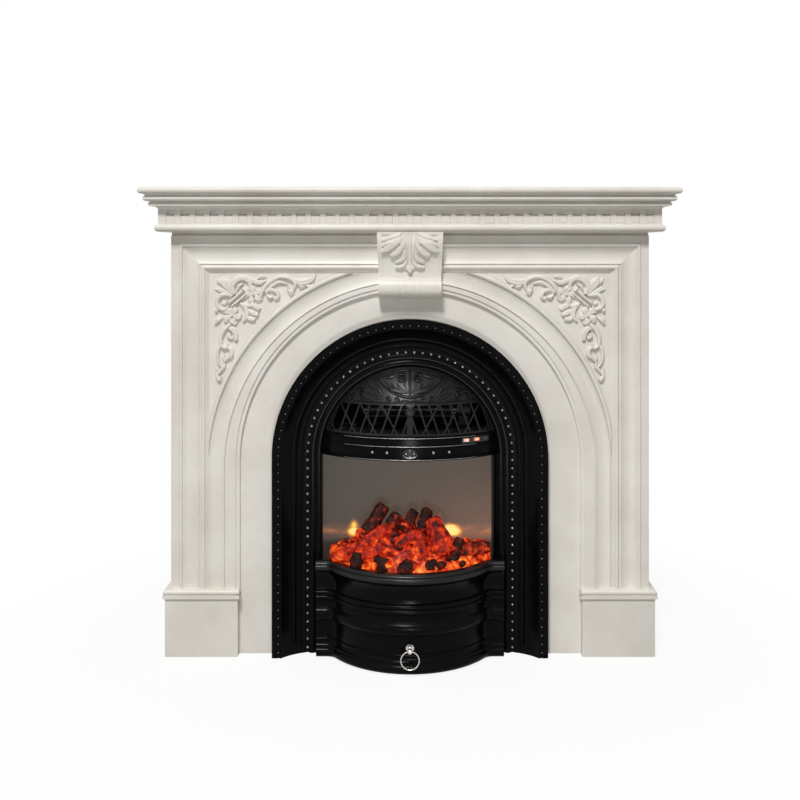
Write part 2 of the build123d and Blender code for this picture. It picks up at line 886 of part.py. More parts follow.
drawer_top = apron_bottom - drawer_gap
fascia = 12.0
drawer_profile = trace(
    (-bow_wall, drawer_foot),
    (-6, drawer_foot),
    ((0, drawer_foot + 11), (-6, drawer_foot + 22)),
    (-6, drawer_foot + 26),
    ((-11, drawer_foot + 31), (-fascia, drawer_foot + 41)),
    (-10, drawer_foot + 41),
    ((-8, drawer_foot + 44), (-10, drawer_foot + 47)),
    (-fascia, drawer_foot + 47),
    (-fascia, drawer_top - 7),
    (-8, drawer_top - 5),
    (-8, drawer_top),
    (-bow_wall, drawer_top),
)
drawer_web = slab(bow_end - end_web, bow_end, web_back, surround_face - bow_wall, drawer_foot, drawer_top)
save("drawer_front", bowed(drawer_profile) + drawer_web + mirror(drawer_web, Plane.YZ))

pan_plan = bow_outline(-bow_wall - seat, pan_half, pan_back)
pan_hollow = bow_outline(-bow_wall - seat - pan_sheet, pan_half - pan_sheet, pan_back + pan_sheet)
pan_top = pan_floor + pan_height
pan = plan(pan_plan, pan_floor, pan_top) - plan(pan_hollow, pan_floor + pan_sheet, pan_top + 1)
lip = slab(pan_half, pan_half + 10, pan_back, -16, pan_top - 2, pan_top)
save("ash_pan", pan + lip + mirror(lip, Plane.YZ))

runner_top = pan_top - 2 - seat
runner = slab(pan_half + 12, pan_half + 14, box_back + 8, -20, sheet, runner_top)
runner += slab(pan_half + 2, pan_half + 14, box_back + 8, -20, runner_top - 2, runner_top)
runner += slab(pan_half + 12, pan_half + 24, box_back + 8, -20, sheet, sheet + 2)
save("drawer_runners", runner, mirror(runner, Plane.YZ))

knob_ahead = reach - knob_radius
fascia_front = bow_front - fascia


def peg(radius, near, far, height):
    return Pos(0, y_of((near + far) / 2), height) * Rot(90, 0, 0) * Cylinder(radius, far - near)


knob = Pos(0, y_of(knob_ahead), knob_height) * Sphere(knob_radius)
knob += peg(3.4, fascia_front - 1.2, knob_ahead, knob_height)
knob += peg(10.0, fascia_front - 1.2, fascia_front + 2.5, knob_height)
knob += Pos(0, y_of(knob_ahead - 3), knob_height + knob_radius + 1) * Sphere(3.2)
knob -= Pos(0, y_of(knob_ahead), knob_height) * Rot(0, 90, 0) * Cylinder(knob_hole, 40)
knob -= plan(bow_outline(-fascia, bow_end, 0), 0, 200)
save("pull_knob", knob)

ring_height = knob_height - ring_radius
pull_ring = Pos(0, y_of(knob_ahead), ring_height) * Rot(90, 0, 0) * Torus(ring_radius, ring_wire)
save("pull_ring", pull_ring)


# Fire box: arched steel shell, back cover and deck

box_profile = trace(
    (box_radius, y_of(ring_back - sheet)),
    (box_radius + box_flange, y_of(ring_back - sheet)),
    (box_radius + box_flange, y_of(ring_back)),
    (box_radius - sheet, y_of(ring_back)),
    (box_radius - sheet, y_of(box_back)),
    (box_radius, y_of(box_back)),
)
box = archway(box_profile, surround_centre)
box += slab(-box_radius, box_radius, box_back, ring_back - 1, 0, sheet)
save("firebox_shell", box)

cover = prism(arch_outline(box_radius, surround_centre), box_back - sheet, box_back)
gland_x = 220.0
gland_z = 110.0
gland_spot = Pos(gland_x, y_of(box_back - 3), gland_z) * Rot(90, 0, 0)
cover -= gland_spot * Cylinder(8.2, 30)
save("rear_cover", cover)

gland = gland_spot * Cylinder(8.0, 14)
gland += Pos(gland_x, y_of(box_back - 5.5), gland_z) * Rot(90, 0, 0) * Cylinder(12, 6.4)
gland -= gland_spot * Cylinder(3.6, 60)
save("cable_gland", gland)

screw_head = Pos(0, y_of(box_back - sheet - 1.2), 0) * Rot(90, 0, 0) * Cylinder(3.2, 2.4)
screw_radius = box_radius - 12
screw_spots = [(x, z) for x in (-screw_radius, screw_radius) for z in (40.0, 200.0, 360.0, surround_centre)]
for t in (45, 90, 135):
    turn = math.radians(t)
    screw_spots.append((screw_radius * math.cos(turn), surround_centre + screw_radius * math.sin(turn)))
save("cover_screws", *[Pos(x, 0, z) * screw_head for x, z in screw_spots])

deck_bottom = deck_top - deck_sheet
shell_inside = box_radius - sheet - seat
deck = plan(bow_outline(-bow_wall - seat, mouth, ring_back - 10), deck_bottom, deck_top)
deck += slab(-shell_inside, shell_inside, box_back + seat, ring_back - sheet - seat, deck_bottom, deck_top)
save("fuel_deck", deck)

canopy_half = math.sqrt(shell_inside**2 - (rail_top + sheet - surround_centre) ** 2)
canopy = slab(-canopy_half, canopy_half, box_back + seat, ring_back - sheet - seat, rail_top, rail_top + sheet)
lattice_inside = math.sqrt((hood_radius - hood_wall) ** 2 - (rail_top + sheet - surround_centre) ** 2)
bow_disc = Pos(0, y_of(hood_centre)) * Circle(lattice_inside - seat)
front_half = math.sqrt(mouth**2 - (rail_top + sheet - surround_centre) ** 2) - 6
front_plan = bow_disc & Pos(0, y_of(40)) * Rectangle(2 * front_half, 140)
front_plan = front_plan & Pos(0, y_of(ring_back - 3 + 100)) * Rectangle(600, 200)
canopy += plan(front_plan, rail_top, rail_top + sheet)
save("canopy_plate", canopy)

screen_top = rail_top - seat
screen = slab(screen_left, screen_right, screen_back, screen_back + screen_sheet, deck_top, screen_top)
save("flame_screen", screen)

cheek_near = screen_back + screen_sheet
cheek_left = slab(-opening_half - cheek_sheet - 1, -opening_half - 1, cheek_near, ring_back, deck_top, screen_top)
cheek_right = slab(screen_right, screen_right + cheek_sheet, cheek_near, ring_back - 3, deck_top, screen_top)
save("side_cheeks", cheek_left, cheek_right)


# Glowing fuel: ember bed and logs

def bed_ring(inset, back, height):
    """A level outline of the ember bed, drawn in from the basket by `inset`."""
    half = screen_right - 4 - inset
    front = bow_front - bow_wall - 4 - inset
    side = surround_face - bow_wall - 4 - inset * 0.4
    corner = [(half, back), (half, side), (half * 0.85, side + 12), (half * 0.45, front - 18)]
    right = [(x, y_of(a)) for x, a in corner]
    left = [(-x, y) for x, y in right]
    return Plane.XY.offset(height) * trace(
        left[0],
        left[1],
        (left[2], left[3]),
        ((0, y_of(front)), right[3]),
        (right[2], right[1]),
        right[0],
    )


bed_back = screen_back + screen_sheet + 2
bed_edge = deck_top + 40.0
bed_top = deck_top + 60.0
bed_slope = 44.0
bed_rings = [
    bed_ring(0, bed_back, deck_top),
    bed_ring(2, bed_back, bed_edge),
    bed_ring(bed_slope, bed_back + 3, bed_top),
]
embers = loft(bed_rings, ruled=True)
mound_half = 138.0
mound_rise = 64.0
mound_rings = [
    Pos(-4, y_of(8), bed_top - 6) * Ellipse(mound_half, mound_half * 0.36),
    Pos(-2, y_of(2), bed_top + mound_rise / 2) * Ellipse(mound_half * 0.67, mound_half * 0.25),
    Pos(2, y_of(-8), bed_top + mound_rise) * Ellipse(mound_half * 0.32, mound_half * 0.13),
]
embers += loft(mound_rings, ruled=True)
save("ember_bed", embers)


bed_half = screen_right - 4
log_radius = 19.0
log_rise = 171.0


def log(low, middle, high, thickness):
    """A log leaning on the mound, placed in shares of the bed's half width, basket and log height."""
    points = [
        Vector(x * bed_half, y_of(a * bow_sagitta), deck_top + z * log_rise)
        for x, a, z in (low, middle, high)
    ]
    along = (points[-1] - points[0]).normalized()
    radii = [log_radius * share for share in (thickness * 0.8, thickness, thickness * 0.77)]
    rings = [Plane(origin=point, z_dir=along) * Circle(radius) for point, radius in zip(points, radii)]
    return loft(rings, ruled=True)


logs = {
    "log_left": log((-0.78, 0.08, 0.35), (-0.55, 0.05, 0.64), (-0.31, -0.06, 1.0), 1.0),
    "log_middle": log((-0.14, 0.40, 0.53), (-0.03, 0.15, 0.75), (0.05, -0.18, 0.99), 0.8),
    "log_right": log((0.60, 0.12, 0.36), (0.42, 0.04, 0.67), (0.20, -0.12, 0.99), 1.0),
}
for name, solid in logs.items():
    save(name, solid - embers)


# Flicker spindle with its motor and stand behind the screen

def rod(radius, x0, x1, ahead, height):
    return Pos((x0 + x1) / 2, y_of(ahead), height) * Rot(0, 90, 0) * Cylinder(radius, x1 - x0)


spindle = rod(spindle_radius, -spindle_half, spindle_half, spindle_depth, spindle_height)
foil_step = 2 * (spindle_half - 20) / foil_count
for i in range(foil_count):
    x = -spindle_half + 20 + foil_step * (i + 0.5)
    foil = Box(foil_step * 0.8, 0.6, foil_length)
    spindle += Pos(x, y_of(spindle_depth), spindle_height) * Rot(i * 40, 0, 0) * foil
save("flicker_spindle", spindle)

stand_plate = slab(
    spindle_half - 8,
    spindle_half - 6,
    spindle_depth - 12,
    spindle_depth + 12,
    deck_top,
    spindle_height + 14,
)
stand_plate += slab(
    spindle_half - 8,
    spindle_half + 10,
    spindle_depth - 12,
    spindle_depth + 12,
    deck_top,
    deck_top + 2,
)
stand_plate -= rod(spindle_radius + shaft_play, 0, 400, spindle_depth, spindle_height)
save("spindle_stands", stand_plate, mirror(stand_plate, Plane.YZ))

motor = rod(20, spindle_half + seat, spindle_half + 20, spindle_depth, spindle_height)
motor += slab(
    spindle_half + 2,
    spindle_half + 18,
    spindle_depth - 14,
    spindle_depth + 14,
    deck_top + 2,
    spindle_height,
)
save("spindle_motor", motor)

led_board = slab(-180, 180, -90, -66, deck_top + 4, deck_top + 6)
for x in (-160, 0, 160):
    led_board += slab(x - 4, x + 4, -84, -72, deck_top, deck_top + 4)
save("led_board", led_board)


# Warm-air blower over the canopy, behind the lattice

floor_z = rail_top + sheet
scroll_inner = wheel_radius + scroll_gap


def side_view(profile, x0, x1):
    face = Plane(origin=(x0, face_y, 0), x_dir=(0, -1, 0), z_dir=(-1, 0, 0)) * profile
    return extrude(face, amount=x0 - x1)


def scroll_outline(grow):
    """Round volute that runs out into a duct toward the front, as (ahead, height)."""
    radius = scroll_inner + grow
    duct = rectangle(wheel_depth, wheel_depth + 55, wheel_height - 8 - grow, wheel_height + scroll_inner + grow)
    return Pos(wheel_depth, wheel_height) * Circle(radius) + duct


scroll = side_view(scroll_outline(sheet), -wheel_half - 4, wheel_half + 4)
scroll -= side_view(scroll_outline(0), -wheel_half - 4 + sheet, wheel_half + 4 - sheet)
scroll -= slab(-wheel_half - 1, wheel_half + 1, wheel_depth + 50, wheel_depth + 60, wheel_height - 6, wheel_height + 3 * wheel_radius)
intake = slab(-wheel_half, wheel_half, wheel_depth - 60, wheel_depth - 12, wheel_height - 14, wheel_height + 14)
scroll -= intake
scroll -= rod(wheel_shaft + shaft_play, -300, 300, wheel_depth, wheel_height)
for x in (-wheel_half + 10, wheel_half - 30):
    foot = slab(x, x + 20, wheel_depth - 12, wheel_depth + 12, floor_z, wheel_height - scroll_inner - 1)
    scroll += foot - side_view(scroll_outline(0.5), -wheel_half - 4, wheel_half + 4)
save("blower_scroll", scroll)

wheel = rod(wheel_shaft, -wheel_half - 12, wheel_half + 14, wheel_depth, wheel_height)
for x in (-wheel_half + 2, wheel_half - 3.5):
    wheel += rod(wheel_radius, x, x + 1.5, wheel_depth, wheel_height)
blade = Pos(0, -wheel_radius + 4, 0) * Box(2 * wheel_half - 5, 6.0, 0.8)
for i in range(blade_count):
    turned = Rot(360 * i / blade_count, 0, 0) * blade
    wheel += Pos(0, y_of(wheel_depth), wheel_height) * turned
save("blower_wheel", wheel)

blower_motor = rod(22, wheel_half + 14 + seat, wheel_half + 52, wheel_depth, wheel_height)
blower_motor += slab(
    wheel_half + 20,
    wheel_half + 46,
    wheel_depth - 16,
    wheel_depth + 16,
    floor_z,
    wheel_height - 10,
)
save("blower_motor", blower_motor)

heater_low = wheel_height - 8
heater_high = wheel_height + scroll_inner
heater_near = wheel_depth + 55 + seat
heater = slab(-wheel_half, wheel_half, heater_near, heater_near + 16, heater_low, heater_high)
heater -= slab(-wheel_half + 4, wheel_half - 4, heater_near - 1, heater_near + 20, heater_low + 4, heater_high - 4)
for x in (-70, 0, 70):
    heater += slab(x - 1, x + 1, heater_near, heater_near + 16, heater_low + 2, heater_high - 2)
for x in (-wheel_half, wheel_half - 4):
    heater += slab(x, x + 4, heater_near, heater_near + 16, floor_z, heater_low + 1)
coil_rows = [heater_low + 4 + (heater_high - heater_low - 8) * (i + 0.5) / 4 for i in range(4)]
gaps = ((-wheel_half + 4, -71), (-69, -1), (1, 69), (71, wheel_half - 4))
coils = [rod(1.4, x0, x1, heater_near + 8, z) for z in coil_rows for x0, x1 in gaps]
save("heater_element", heater, *coils)

board_plate = slab(-210, -140, -110, -50, floor_z + 6, floor_z + 7.6)
for x in (-204, -146):
    for ahead in (-104, -56):
        board_plate += slab(x - 3, x + 3, ahead - 3, ahead + 3, floor_z, floor_z + 6)
save("control_board", board_plate)
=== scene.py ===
# %% [markdown]
# # A marble mantel with a black cast electric fire
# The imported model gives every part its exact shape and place. This lesson dresses it: a camera and light
# like a catalogue picture, one finish for each real material, and then the carving, beads, embers and logs
# that are too fine for the solid model.

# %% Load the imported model
import bmesh
import bpy
import json
import math
import random
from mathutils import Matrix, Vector, noise


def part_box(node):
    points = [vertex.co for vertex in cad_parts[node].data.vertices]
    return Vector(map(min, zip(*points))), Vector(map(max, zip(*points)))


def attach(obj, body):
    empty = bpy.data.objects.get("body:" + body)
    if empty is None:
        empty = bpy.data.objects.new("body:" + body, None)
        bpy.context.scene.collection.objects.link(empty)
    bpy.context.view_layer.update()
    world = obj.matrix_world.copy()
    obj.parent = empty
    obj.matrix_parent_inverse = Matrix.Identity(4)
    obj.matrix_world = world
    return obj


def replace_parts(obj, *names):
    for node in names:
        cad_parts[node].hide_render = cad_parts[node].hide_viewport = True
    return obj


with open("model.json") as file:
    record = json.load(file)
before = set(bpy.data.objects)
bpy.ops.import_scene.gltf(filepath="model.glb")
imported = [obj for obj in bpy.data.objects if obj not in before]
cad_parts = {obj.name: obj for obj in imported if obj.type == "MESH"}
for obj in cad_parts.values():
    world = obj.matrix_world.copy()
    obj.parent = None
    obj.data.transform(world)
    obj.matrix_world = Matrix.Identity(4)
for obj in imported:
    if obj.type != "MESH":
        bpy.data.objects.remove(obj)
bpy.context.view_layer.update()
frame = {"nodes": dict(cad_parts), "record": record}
nodes = frame["nodes"]

# %% [markdown]
# ## Units
# Lengths are thought of in millimetres, as on a drawing. Depth is written as `ahead`: how far a point
# stands in front of the marble slips that frame the fire. They lie 24 mm ahead of the model's middle.

# %% Millimetres to the model's metres
SLIP_FACE = -24.0


def at(x, ahead, z):
    return Vector((x, SLIP_FACE - ahead, z)) / 1000


low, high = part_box("arch_surround")
print("the cast surround is", round((high.x - low.x) * 1000), "mm wide")

# %% [markdown]
# ## Camera
# A picture like this is taken a little above half height and a few steps back. The camera looks level and
# the lens is shifted down instead of tilted, so the jambs stay upright as they do in the picture.

# %% Camera
eye = at(0, 2513, 1046)
lens_data = bpy.data.cameras.new("studio_camera")
lens_data.lens = 43.6
lens_data.sensor_width = 36.0
lens_data.shift_x = -0.0125
lens_data.shift_y = -0.1875
camera = bpy.data.objects.new("studio_camera", lens_data)
camera.location = eye
camera.rotation_euler = (math.radians(90), 0, 0)
bpy.context.scene.collection.objects.link(camera)
bpy.context.scene.camera = camera
print("camera at", [round(v, 3) for v in eye])

# %% [markdown]
# ## Colours and nodes
# Colours are written the way a paint chart gives them, as sRGB hex. The renderer works with linear light,
# so one function converts them. A second small function adds any shader node with its settings and links,
# which keeps every recipe below readable.

# %% Colour and node helpers
def linear(chart):
    parts = [int(chart[i:i + 2], 16) / 255 for i in (1, 3, 5)]
    bent = [p / 12.92 if p <= 0.04045 else ((p + 0.055) / 1.055) ** 2.4 for p in parts]
    return (*bent, 1.0)


def add(tree, kind, inputs=None, stops=None, **settings):
    node = tree.nodes.new("ShaderNode" + kind)
    for key, value in settings.items():
        setattr(node, key, value)
    for key, value in (inputs or {}).items():
        if isinstance(value, bpy.types.NodeSocket):
            tree.links.new(value, node.inputs[key])
        else:
            node.inputs[key].default_value = value
    for i, (place, chart) in enumerate(stops or []):
        element = node.color_ramp.elements[i] if i < 2 else node.color_ramp.elements.new(place)
        element.position = place
        element.color = linear(chart)
    return node


def new_finish(name):
    material = bpy.data.materials.new(name)
    material.use_nodes = True
    material.node_tree.nodes.clear()
    print("finish:", name)
    return material, material.node_tree


def dress(tree, shader):
    add(tree, "OutputMaterial", {"Surface": shader.outputs[0]})


def seen_directly(tree):
    """One for rays from the camera, from gloss and through glass, and nothing for light that bounces."""
    rays = add(tree, "LightPath")
    flat = {0: rays.outputs["Is Camera Ray"], 1: rays.outputs["Is Glossy Ray"]}
    seen = add(tree, "Math", flat, operation="MAXIMUM")
    through = {0: seen.outputs[0], 1: rays.outputs["Is Transmission Ray"]}
    return add(tree, "Math", through, operation="MAXIMUM").outputs[0]


print("white marble in linear light", [round(c, 3) for c in linear("#E6E0D7")[:3]])

# %% [markdown]
# ## Studio light
# One soft lamp high in front does nearly all the work, so the mouldings throw shadows downward as in the
# picture. A weak one from the left fills the jambs, a small low reflector gives the iron its gleam, and a
# faint world, brighter overhead, keeps the undersides from going black. The background is white only to the
# camera, to glossy rays and to rays through glass, so it adds no light to the object.

# %% World
world = bpy.data.worlds.new("studio")
world.use_nodes = True
sky = world.node_tree
sky.nodes.clear()
seen = seen_directly(sky)
up = add(sky, "SeparateXYZ", {"Vector": add(sky, "TexCoord").outputs["Generated"]})
ceiling = add(sky, "MapRange", {"Value": up.outputs["Z"], "To Min": 0.04, "To Max": 0.30})
fill = add(sky, "Background", {"Color": linear("#F5F5F6"), "Strength": ceiling.outputs[0]})
white = add(sky, "Background", {"Color": linear("#FFFFFF"), "Strength": 1.0})
both = add(sky, "MixShader", {0: seen, 1: fill.outputs[0], 2: white.outputs[0]})
add(sky, "OutputWorld", {"Surface": both.outputs[0]})
bpy.context.scene.world = world
bpy.context.scene.view_settings.view_transform = "Standard"
print("world:", world.name, "with", len(sky.nodes), "nodes")


# %% Lamps
def lamp(name, place, target, width, watts):
    data = bpy.data.lights.new(name, "AREA")
    data.shape = "SQUARE"
    data.size = width
    data.energy = watts
    data.color = linear("#FFFFFF")[:3]
    light = bpy.data.objects.new(name, data)
    light.location = place
    light.rotation_euler = (Vector(target) - Vector(place)).to_track_quat("-Z", "Y").to_euler()
    bpy.context.scene.collection.objects.link(light)


lamp("high_softbox", (-0.9, -4.9, 7.1), (0, -0.05, 0.6), 1.4, 545)
lamp("left_softbox", (-2.6, -3.0, 1.2), (0, -0.05, 0.5), 1.2, 8)
lamp("low_reflector", (0.0, -1.5, 0.2), (0, -0.05, 0.8), 0.2, 5)
print("lamps:", [light.name for light in bpy.data.lights])

# %% [markdown]
# ## Floor
# The floor is plain white paper. To the camera it is mostly its own white, with enough real shading left
# in it that the object still stands on a soft shadow. The light that bounces off it is greyer, so the
# undersides stay as dark as in the picture.

# %% Floor
floor_mesh = bpy.data.meshes.new("studio_floor")
corners = [(-6, -6, 0), (6, -6, 0), (6, 6, 0), (-6, 6, 0)]
floor_mesh.from_pydata([(x, y, -0.0005) for x, y, z in corners], [], [(0, 1, 2, 3)])
floor = bpy.data.objects.new("studio_floor", floor_mesh)
bpy.context.scene.collection.objects.link(floor)
paper, tree = new_finish("white paper")
seen = seen_directly(tree)
spot = add(tree, "TexCoord").outputs["Object"]
away = add(tree, "VectorMath", {0: spot}, operation="LENGTH")
fade = add(tree, "MapRange", {
    "Value": away.outputs["Value"], "From Min": 0.5, "From Max": 1.3, "To Min": 0.86, "To Max": 1.0,
})
share = add(tree, "Math", {0: seen, 1: fade.outputs[0]}, operation="MULTIPLY")
weave = add(tree, "Mix", {0: seen, 6: linear("#8F8E8B"), 7: linear("#F2F1EE")}, data_type="RGBA")
matt = add(tree, "BsdfDiffuse", {"Color": weave.outputs[2]})
glow = add(tree, "Emission", {"Color": linear("#FFFFFF"), "Strength": 1.0})
dress(tree, add(tree, "MixShader", {0: share.outputs[0], 1: matt.outputs[0], 2: glow.outputs[0]}))
floor.data.materials.append(paper)

# %% [markdown]
# ## Cast marble
# The mantel is cultured marble: crushed marble and resin cast in moulds and honed to a soft sheen. Close
# up it is nearly plain warm white, clouded over a hand's breadth, with a few hair-thin veins. Clouds 120 mm
# wide and veins 1 mm thick are drawn from noise, and a 1.5 mm orange-peel from the mould breaks the gloss.

# %% Cast marble
marble, tree = new_finish("honed cast marble")
spot = add(tree, "TexCoord").outputs["Object"]
clouds = add(tree, "TexNoise", {"Vector": spot, "Scale": 8.0, "Detail": 5.0, "Roughness": 0.55})
tone = add(tree, "ValToRGB", {"Fac": clouds.outputs[0]}, stops=[(0.32, "#D9D4CA"), (0.66, "#E4E0D8")])
warp = add(tree, "TexNoise", {
    "Vector": spot, "Scale": 3.2, "Detail": 8.0, "Roughness": 0.62, "Distortion": 1.1,
})
band = add(tree, "Math", {0: warp.outputs[0], 1: 0.5}, operation="SUBTRACT")
band = add(tree, "Math", {0: band.outputs[0]}, operation="ABSOLUTE")
vein = add(tree, "MapRange", {
    "Value": band.outputs[0], "From Min": 0.0, "From Max": 0.012, "To Min": 0.09, "To Max": 0.0,
})
stone = add(tree, "Mix", {0: vein.outputs[0], 6: tone.outputs[0], 7: linear("#B9AD9D")}, data_type="RGBA")
grain = add(tree, "TexNoise", {"Vector": spot, "Scale": 650.0, "Detail": 2.0})
dull = add(tree, "MapRange", {"Value": clouds.outputs[0], "To Min": 0.34, "To Max": 0.46})
peel = add(tree, "Bump", {"Height": grain.outputs[0], "Strength": 0.035, "Distance": 0.0006})
dress(tree, add(tree, "BsdfPrincipled", {
    "Base Color": stone.outputs[2],
    "Roughness": dull.outputs[0],
    "Normal": peel.outputs[0],
    "IOR": 1.49,
    "Specular IOR Level": 0.35,
}))

# %% [markdown]
# ## Black cast iron
# The fire's front is grey iron cast in sand and sprayed with satin stove black. Sand leaves a fine skin of
# bumps about 0.8 mm across, and edges are rounded by a millimetre of paint. The colour is almost black, so
# what the eye reads is only the broken highlight along each moulding. The hood and the basket's rim are
# brushed with black lead, which is a little greyer. The beads, studs and rail crests are bright bare metal,
# partly rubbed to the iron and partly a painted highlight that stands in for their glints.

# %% Black cast iron
cast_black, tree = new_finish("satin stove black on cast iron")
spot = add(tree, "TexCoord").outputs["Object"]
sand = add(tree, "TexNoise", {"Vector": spot, "Scale": 1200.0, "Detail": 3.0, "Roughness": 0.6})
patches = add(tree, "TexNoise", {"Vector": spot, "Scale": 40.0, "Detail": 4.0})
ink = add(tree, "ValToRGB", {"Fac": patches.outputs[0]}, stops=[(0.3, "#040404"), (0.75, "#09090A")])
gloss = add(tree, "MapRange", {"Value": patches.outputs[0], "To Min": 0.16, "To Max": 0.26})
rounded = add(tree, "Bevel", {"Radius": 0.0012}, samples=4)
skin = add(tree, "Bump", {
    "Height": sand.outputs[0], "Strength": 0.10, "Distance": 0.0005, "Normal": rounded.outputs[0],
})
dress(tree, add(tree, "BsdfPrincipled", {
    "Base Color": ink.outputs[0],
    "Roughness": gloss.outputs[0],
    "Normal": skin.outputs[0],
    "Specular IOR Level": 0.05,
}))

# %% Blackleaded castings
blackleaded, tree = new_finish("blackleaded cast iron")
spot = add(tree, "TexCoord").outputs["Object"]
brushed = add(tree, "TexNoise", {"Vector": spot, "Scale": 90.0, "Detail": 5.0})
lead = add(tree, "ValToRGB", {"Fac": brushed.outputs[0]}, stops=[(0.3, "#0A0A0B"), (0.75, "#161617")])
sheen = add(tree, "MapRange", {"Value": brushed.outputs[0], "To Min": 0.26, "To Max": 0.38})
rounded = add(tree, "Bevel", {"Radius": 0.0012}, samples=4)
dress(tree, add(tree, "BsdfPrincipled", {
    "Base Color": lead.outputs[0],
    "Roughness": sheen.outputs[0],
    "Specular IOR Level": 0.22,
    "Normal": rounded.outputs[0],
}))

# %% Rubbed crests and painted glints
# Bright bare metal, partly rubbed wear and partly painted highlight, for beads, studs, the boss lip and the
# rail crests.
rubbed_iron_and_glint, tree = new_finish("stove black rubbed to bare iron")
spot = add(tree, "TexCoord").outputs["Object"]
wear = add(tree, "TexNoise", {"Vector": spot, "Scale": 300.0, "Detail": 3.0})
bare = add(tree, "ValToRGB", {"Fac": wear.outputs[0]}, stops=[(0.35, "#6E6E70"), (0.7, "#A2A2A4")])
shine = add(tree, "MapRange", {"Value": wear.outputs[0], "To Min": 0.22, "To Max": 0.36})
dress(tree, add(tree, "BsdfPrincipled", {
    "Base Color": bare.outputs[0], "Roughness": shine.outputs[0], "Metallic": 0.85,
}))

# %% [markdown]
# ## Sheet metals
# Behind the front everything is sheet steel: the box and pan are powder-coated matt black, with a 1.2 mm
# orange-peel, and the small works are zinc plated. Zinc grows in spangles of a few millimetres, which show
# as patches of slightly different grey and gloss.

# %% Powder-coated steel
black_steel, tree = new_finish("matt black powder coat")
spot = add(tree, "TexCoord").outputs["Object"]
drops = add(tree, "TexNoise", {"Vector": spot, "Scale": 820.0, "Detail": 1.0})
tint = add(tree, "ValToRGB", {"Fac": drops.outputs[0]}, stops=[(0.35, "#0C0C0D"), (0.7, "#141415")])
peel = add(tree, "Bump", {"Height": drops.outputs[0], "Strength": 0.2, "Distance": 0.0003})
dress(tree, add(tree, "BsdfPrincipled", {
    "Base Color": tint.outputs[0], "Normal": peel.outputs[0], "Roughness": 0.62, "Specular IOR Level": 0.25,
}))

# %% Zinc-plated steel
zinc_steel, tree = new_finish("zinc plate on steel")
spot = add(tree, "TexCoord").outputs["Object"]
spangle = add(tree, "TexVoronoi", {"Vector": spot, "Scale": 260.0, "Randomness": 1.0})
grey = add(tree, "ValToRGB", {"Fac": spangle.outputs["Color"]}, stops=[(0.0, "#A9ADB0"), (1.0, "#C9CCCE")])
matte = add(tree, "MapRange", {"Value": spangle.outputs["Distance"], "To Min": 0.32, "To Max": 0.5})
dress(tree, add(tree, "BsdfPrincipled", {
    "Base Color": grey.outputs[0], "Roughness": matte.outputs[0], "Metallic": 1.0,
}))

# %% Polished nickel
bright_metal, tree = new_finish("polished nickel plate")
spot = add(tree, "TexCoord").outputs["Object"]
handling = add(tree, "TexNoise", {"Vector": spot, "Scale": 220.0, "Detail": 5.0})
smear = add(tree, "MapRange", {"Value": handling.outputs[0], "To Min": 0.10, "To Max": 0.28})
metal = add(tree, "ValToRGB", {"Fac": handling.outputs[0]}, stops=[(0.3, "#B9B5AE"), (0.7, "#D2CEC7")])
dress(tree, add(tree, "BsdfPrincipled", {
    "Base Color": metal.outputs[0], "Roughness": smear.outputs[0], "Metallic": 1.0,
}))

# %% [markdown]
# ## Plastics, circuit board and timber
# Switch frames and motor cases are moulded plastic with a spark-eroded texture half a millimetre wide. The
# rockers are clear tinted plastic with a lamp inside, so two of them glow. The boards are green solder mask
# over copper tracks 3 mm apart, and the fixing batten is planed pine with 8 mm growth rings.

# %% Moulded plastic
switch_black, tree = new_finish("textured black polypropylene")
spot = add(tree, "TexCoord").outputs["Object"]
spark = add(tree, "TexNoise", {"Vector": spot, "Scale": 1900.0})
pits = add(tree, "Bump", {"Height": spark.outputs[0], "Strength": 0.2, "Distance": 0.0002})
shade = add(tree, "ValToRGB", {"Fac": spark.outputs[0]}, stops=[(0.3, "#0B0B0B"), (0.8, "#151515")])
dress(tree, add(tree, "BsdfPrincipled", {
    "Base Color": shade.outputs[0], "Normal": pits.outputs[0], "Roughness": 0.5,
}))

motor_black, tree = new_finish("moulded nylon motor case")
spot = add(tree, "TexCoord").outputs["Object"]
fibre = add(tree, "TexNoise", {"Vector": spot, "Scale": 700.0, "Detail": 3.0})
shade = add(tree, "ValToRGB", {"Fac": fibre.outputs[0]}, stops=[(0.3, "#1B1C1F"), (0.8, "#2A2B2F")])
dress(tree, add(tree, "BsdfPrincipled", {"Base Color": shade.outputs[0], "Roughness": 0.6}))

# %% Rocker switches
def rocker_finish(name, dark, bright, power):
    """Tinted rocker, brightest over the lamp in its middle."""
    material, tree = new_finish(name)
    spot = add(tree, "TexCoord").outputs["Generated"]
    centred = add(tree, "Mapping", {
        "Vector": spot, "Location": (-1.0, -1.0, -1.0), "Scale": (2.0, 2.0, 2.0),
    })
    ball = add(tree, "TexGradient", {"Vector": centred.outputs[0]}, gradient_type="SPHERICAL")
    heat = add(tree, "ValToRGB", {"Fac": ball.outputs[0]}, stops=[(0.0, dark), (0.7, bright)])
    dress(tree, add(tree, "BsdfPrincipled", {
        "Base Color": linear(dark),
        "Emission Color": heat.outputs[0],
        "Emission Strength": power,
        "Roughness": 0.22,
    }))
    return material


pink_rocker = rocker_finish("lit pink acrylic rocker", "#C7867E", "#FFF0EC", 0.9)
amber_rocker = rocker_finish("lit amber acrylic rocker", "#C96A45", "#FFE9D2", 0.9)
# The unlit rocker still has a faint painted glow, brightest in its middle.
dark_rocker = rocker_finish("unlit red acrylic rocker", "#2A0D0C", "#5A2320", 0.25)

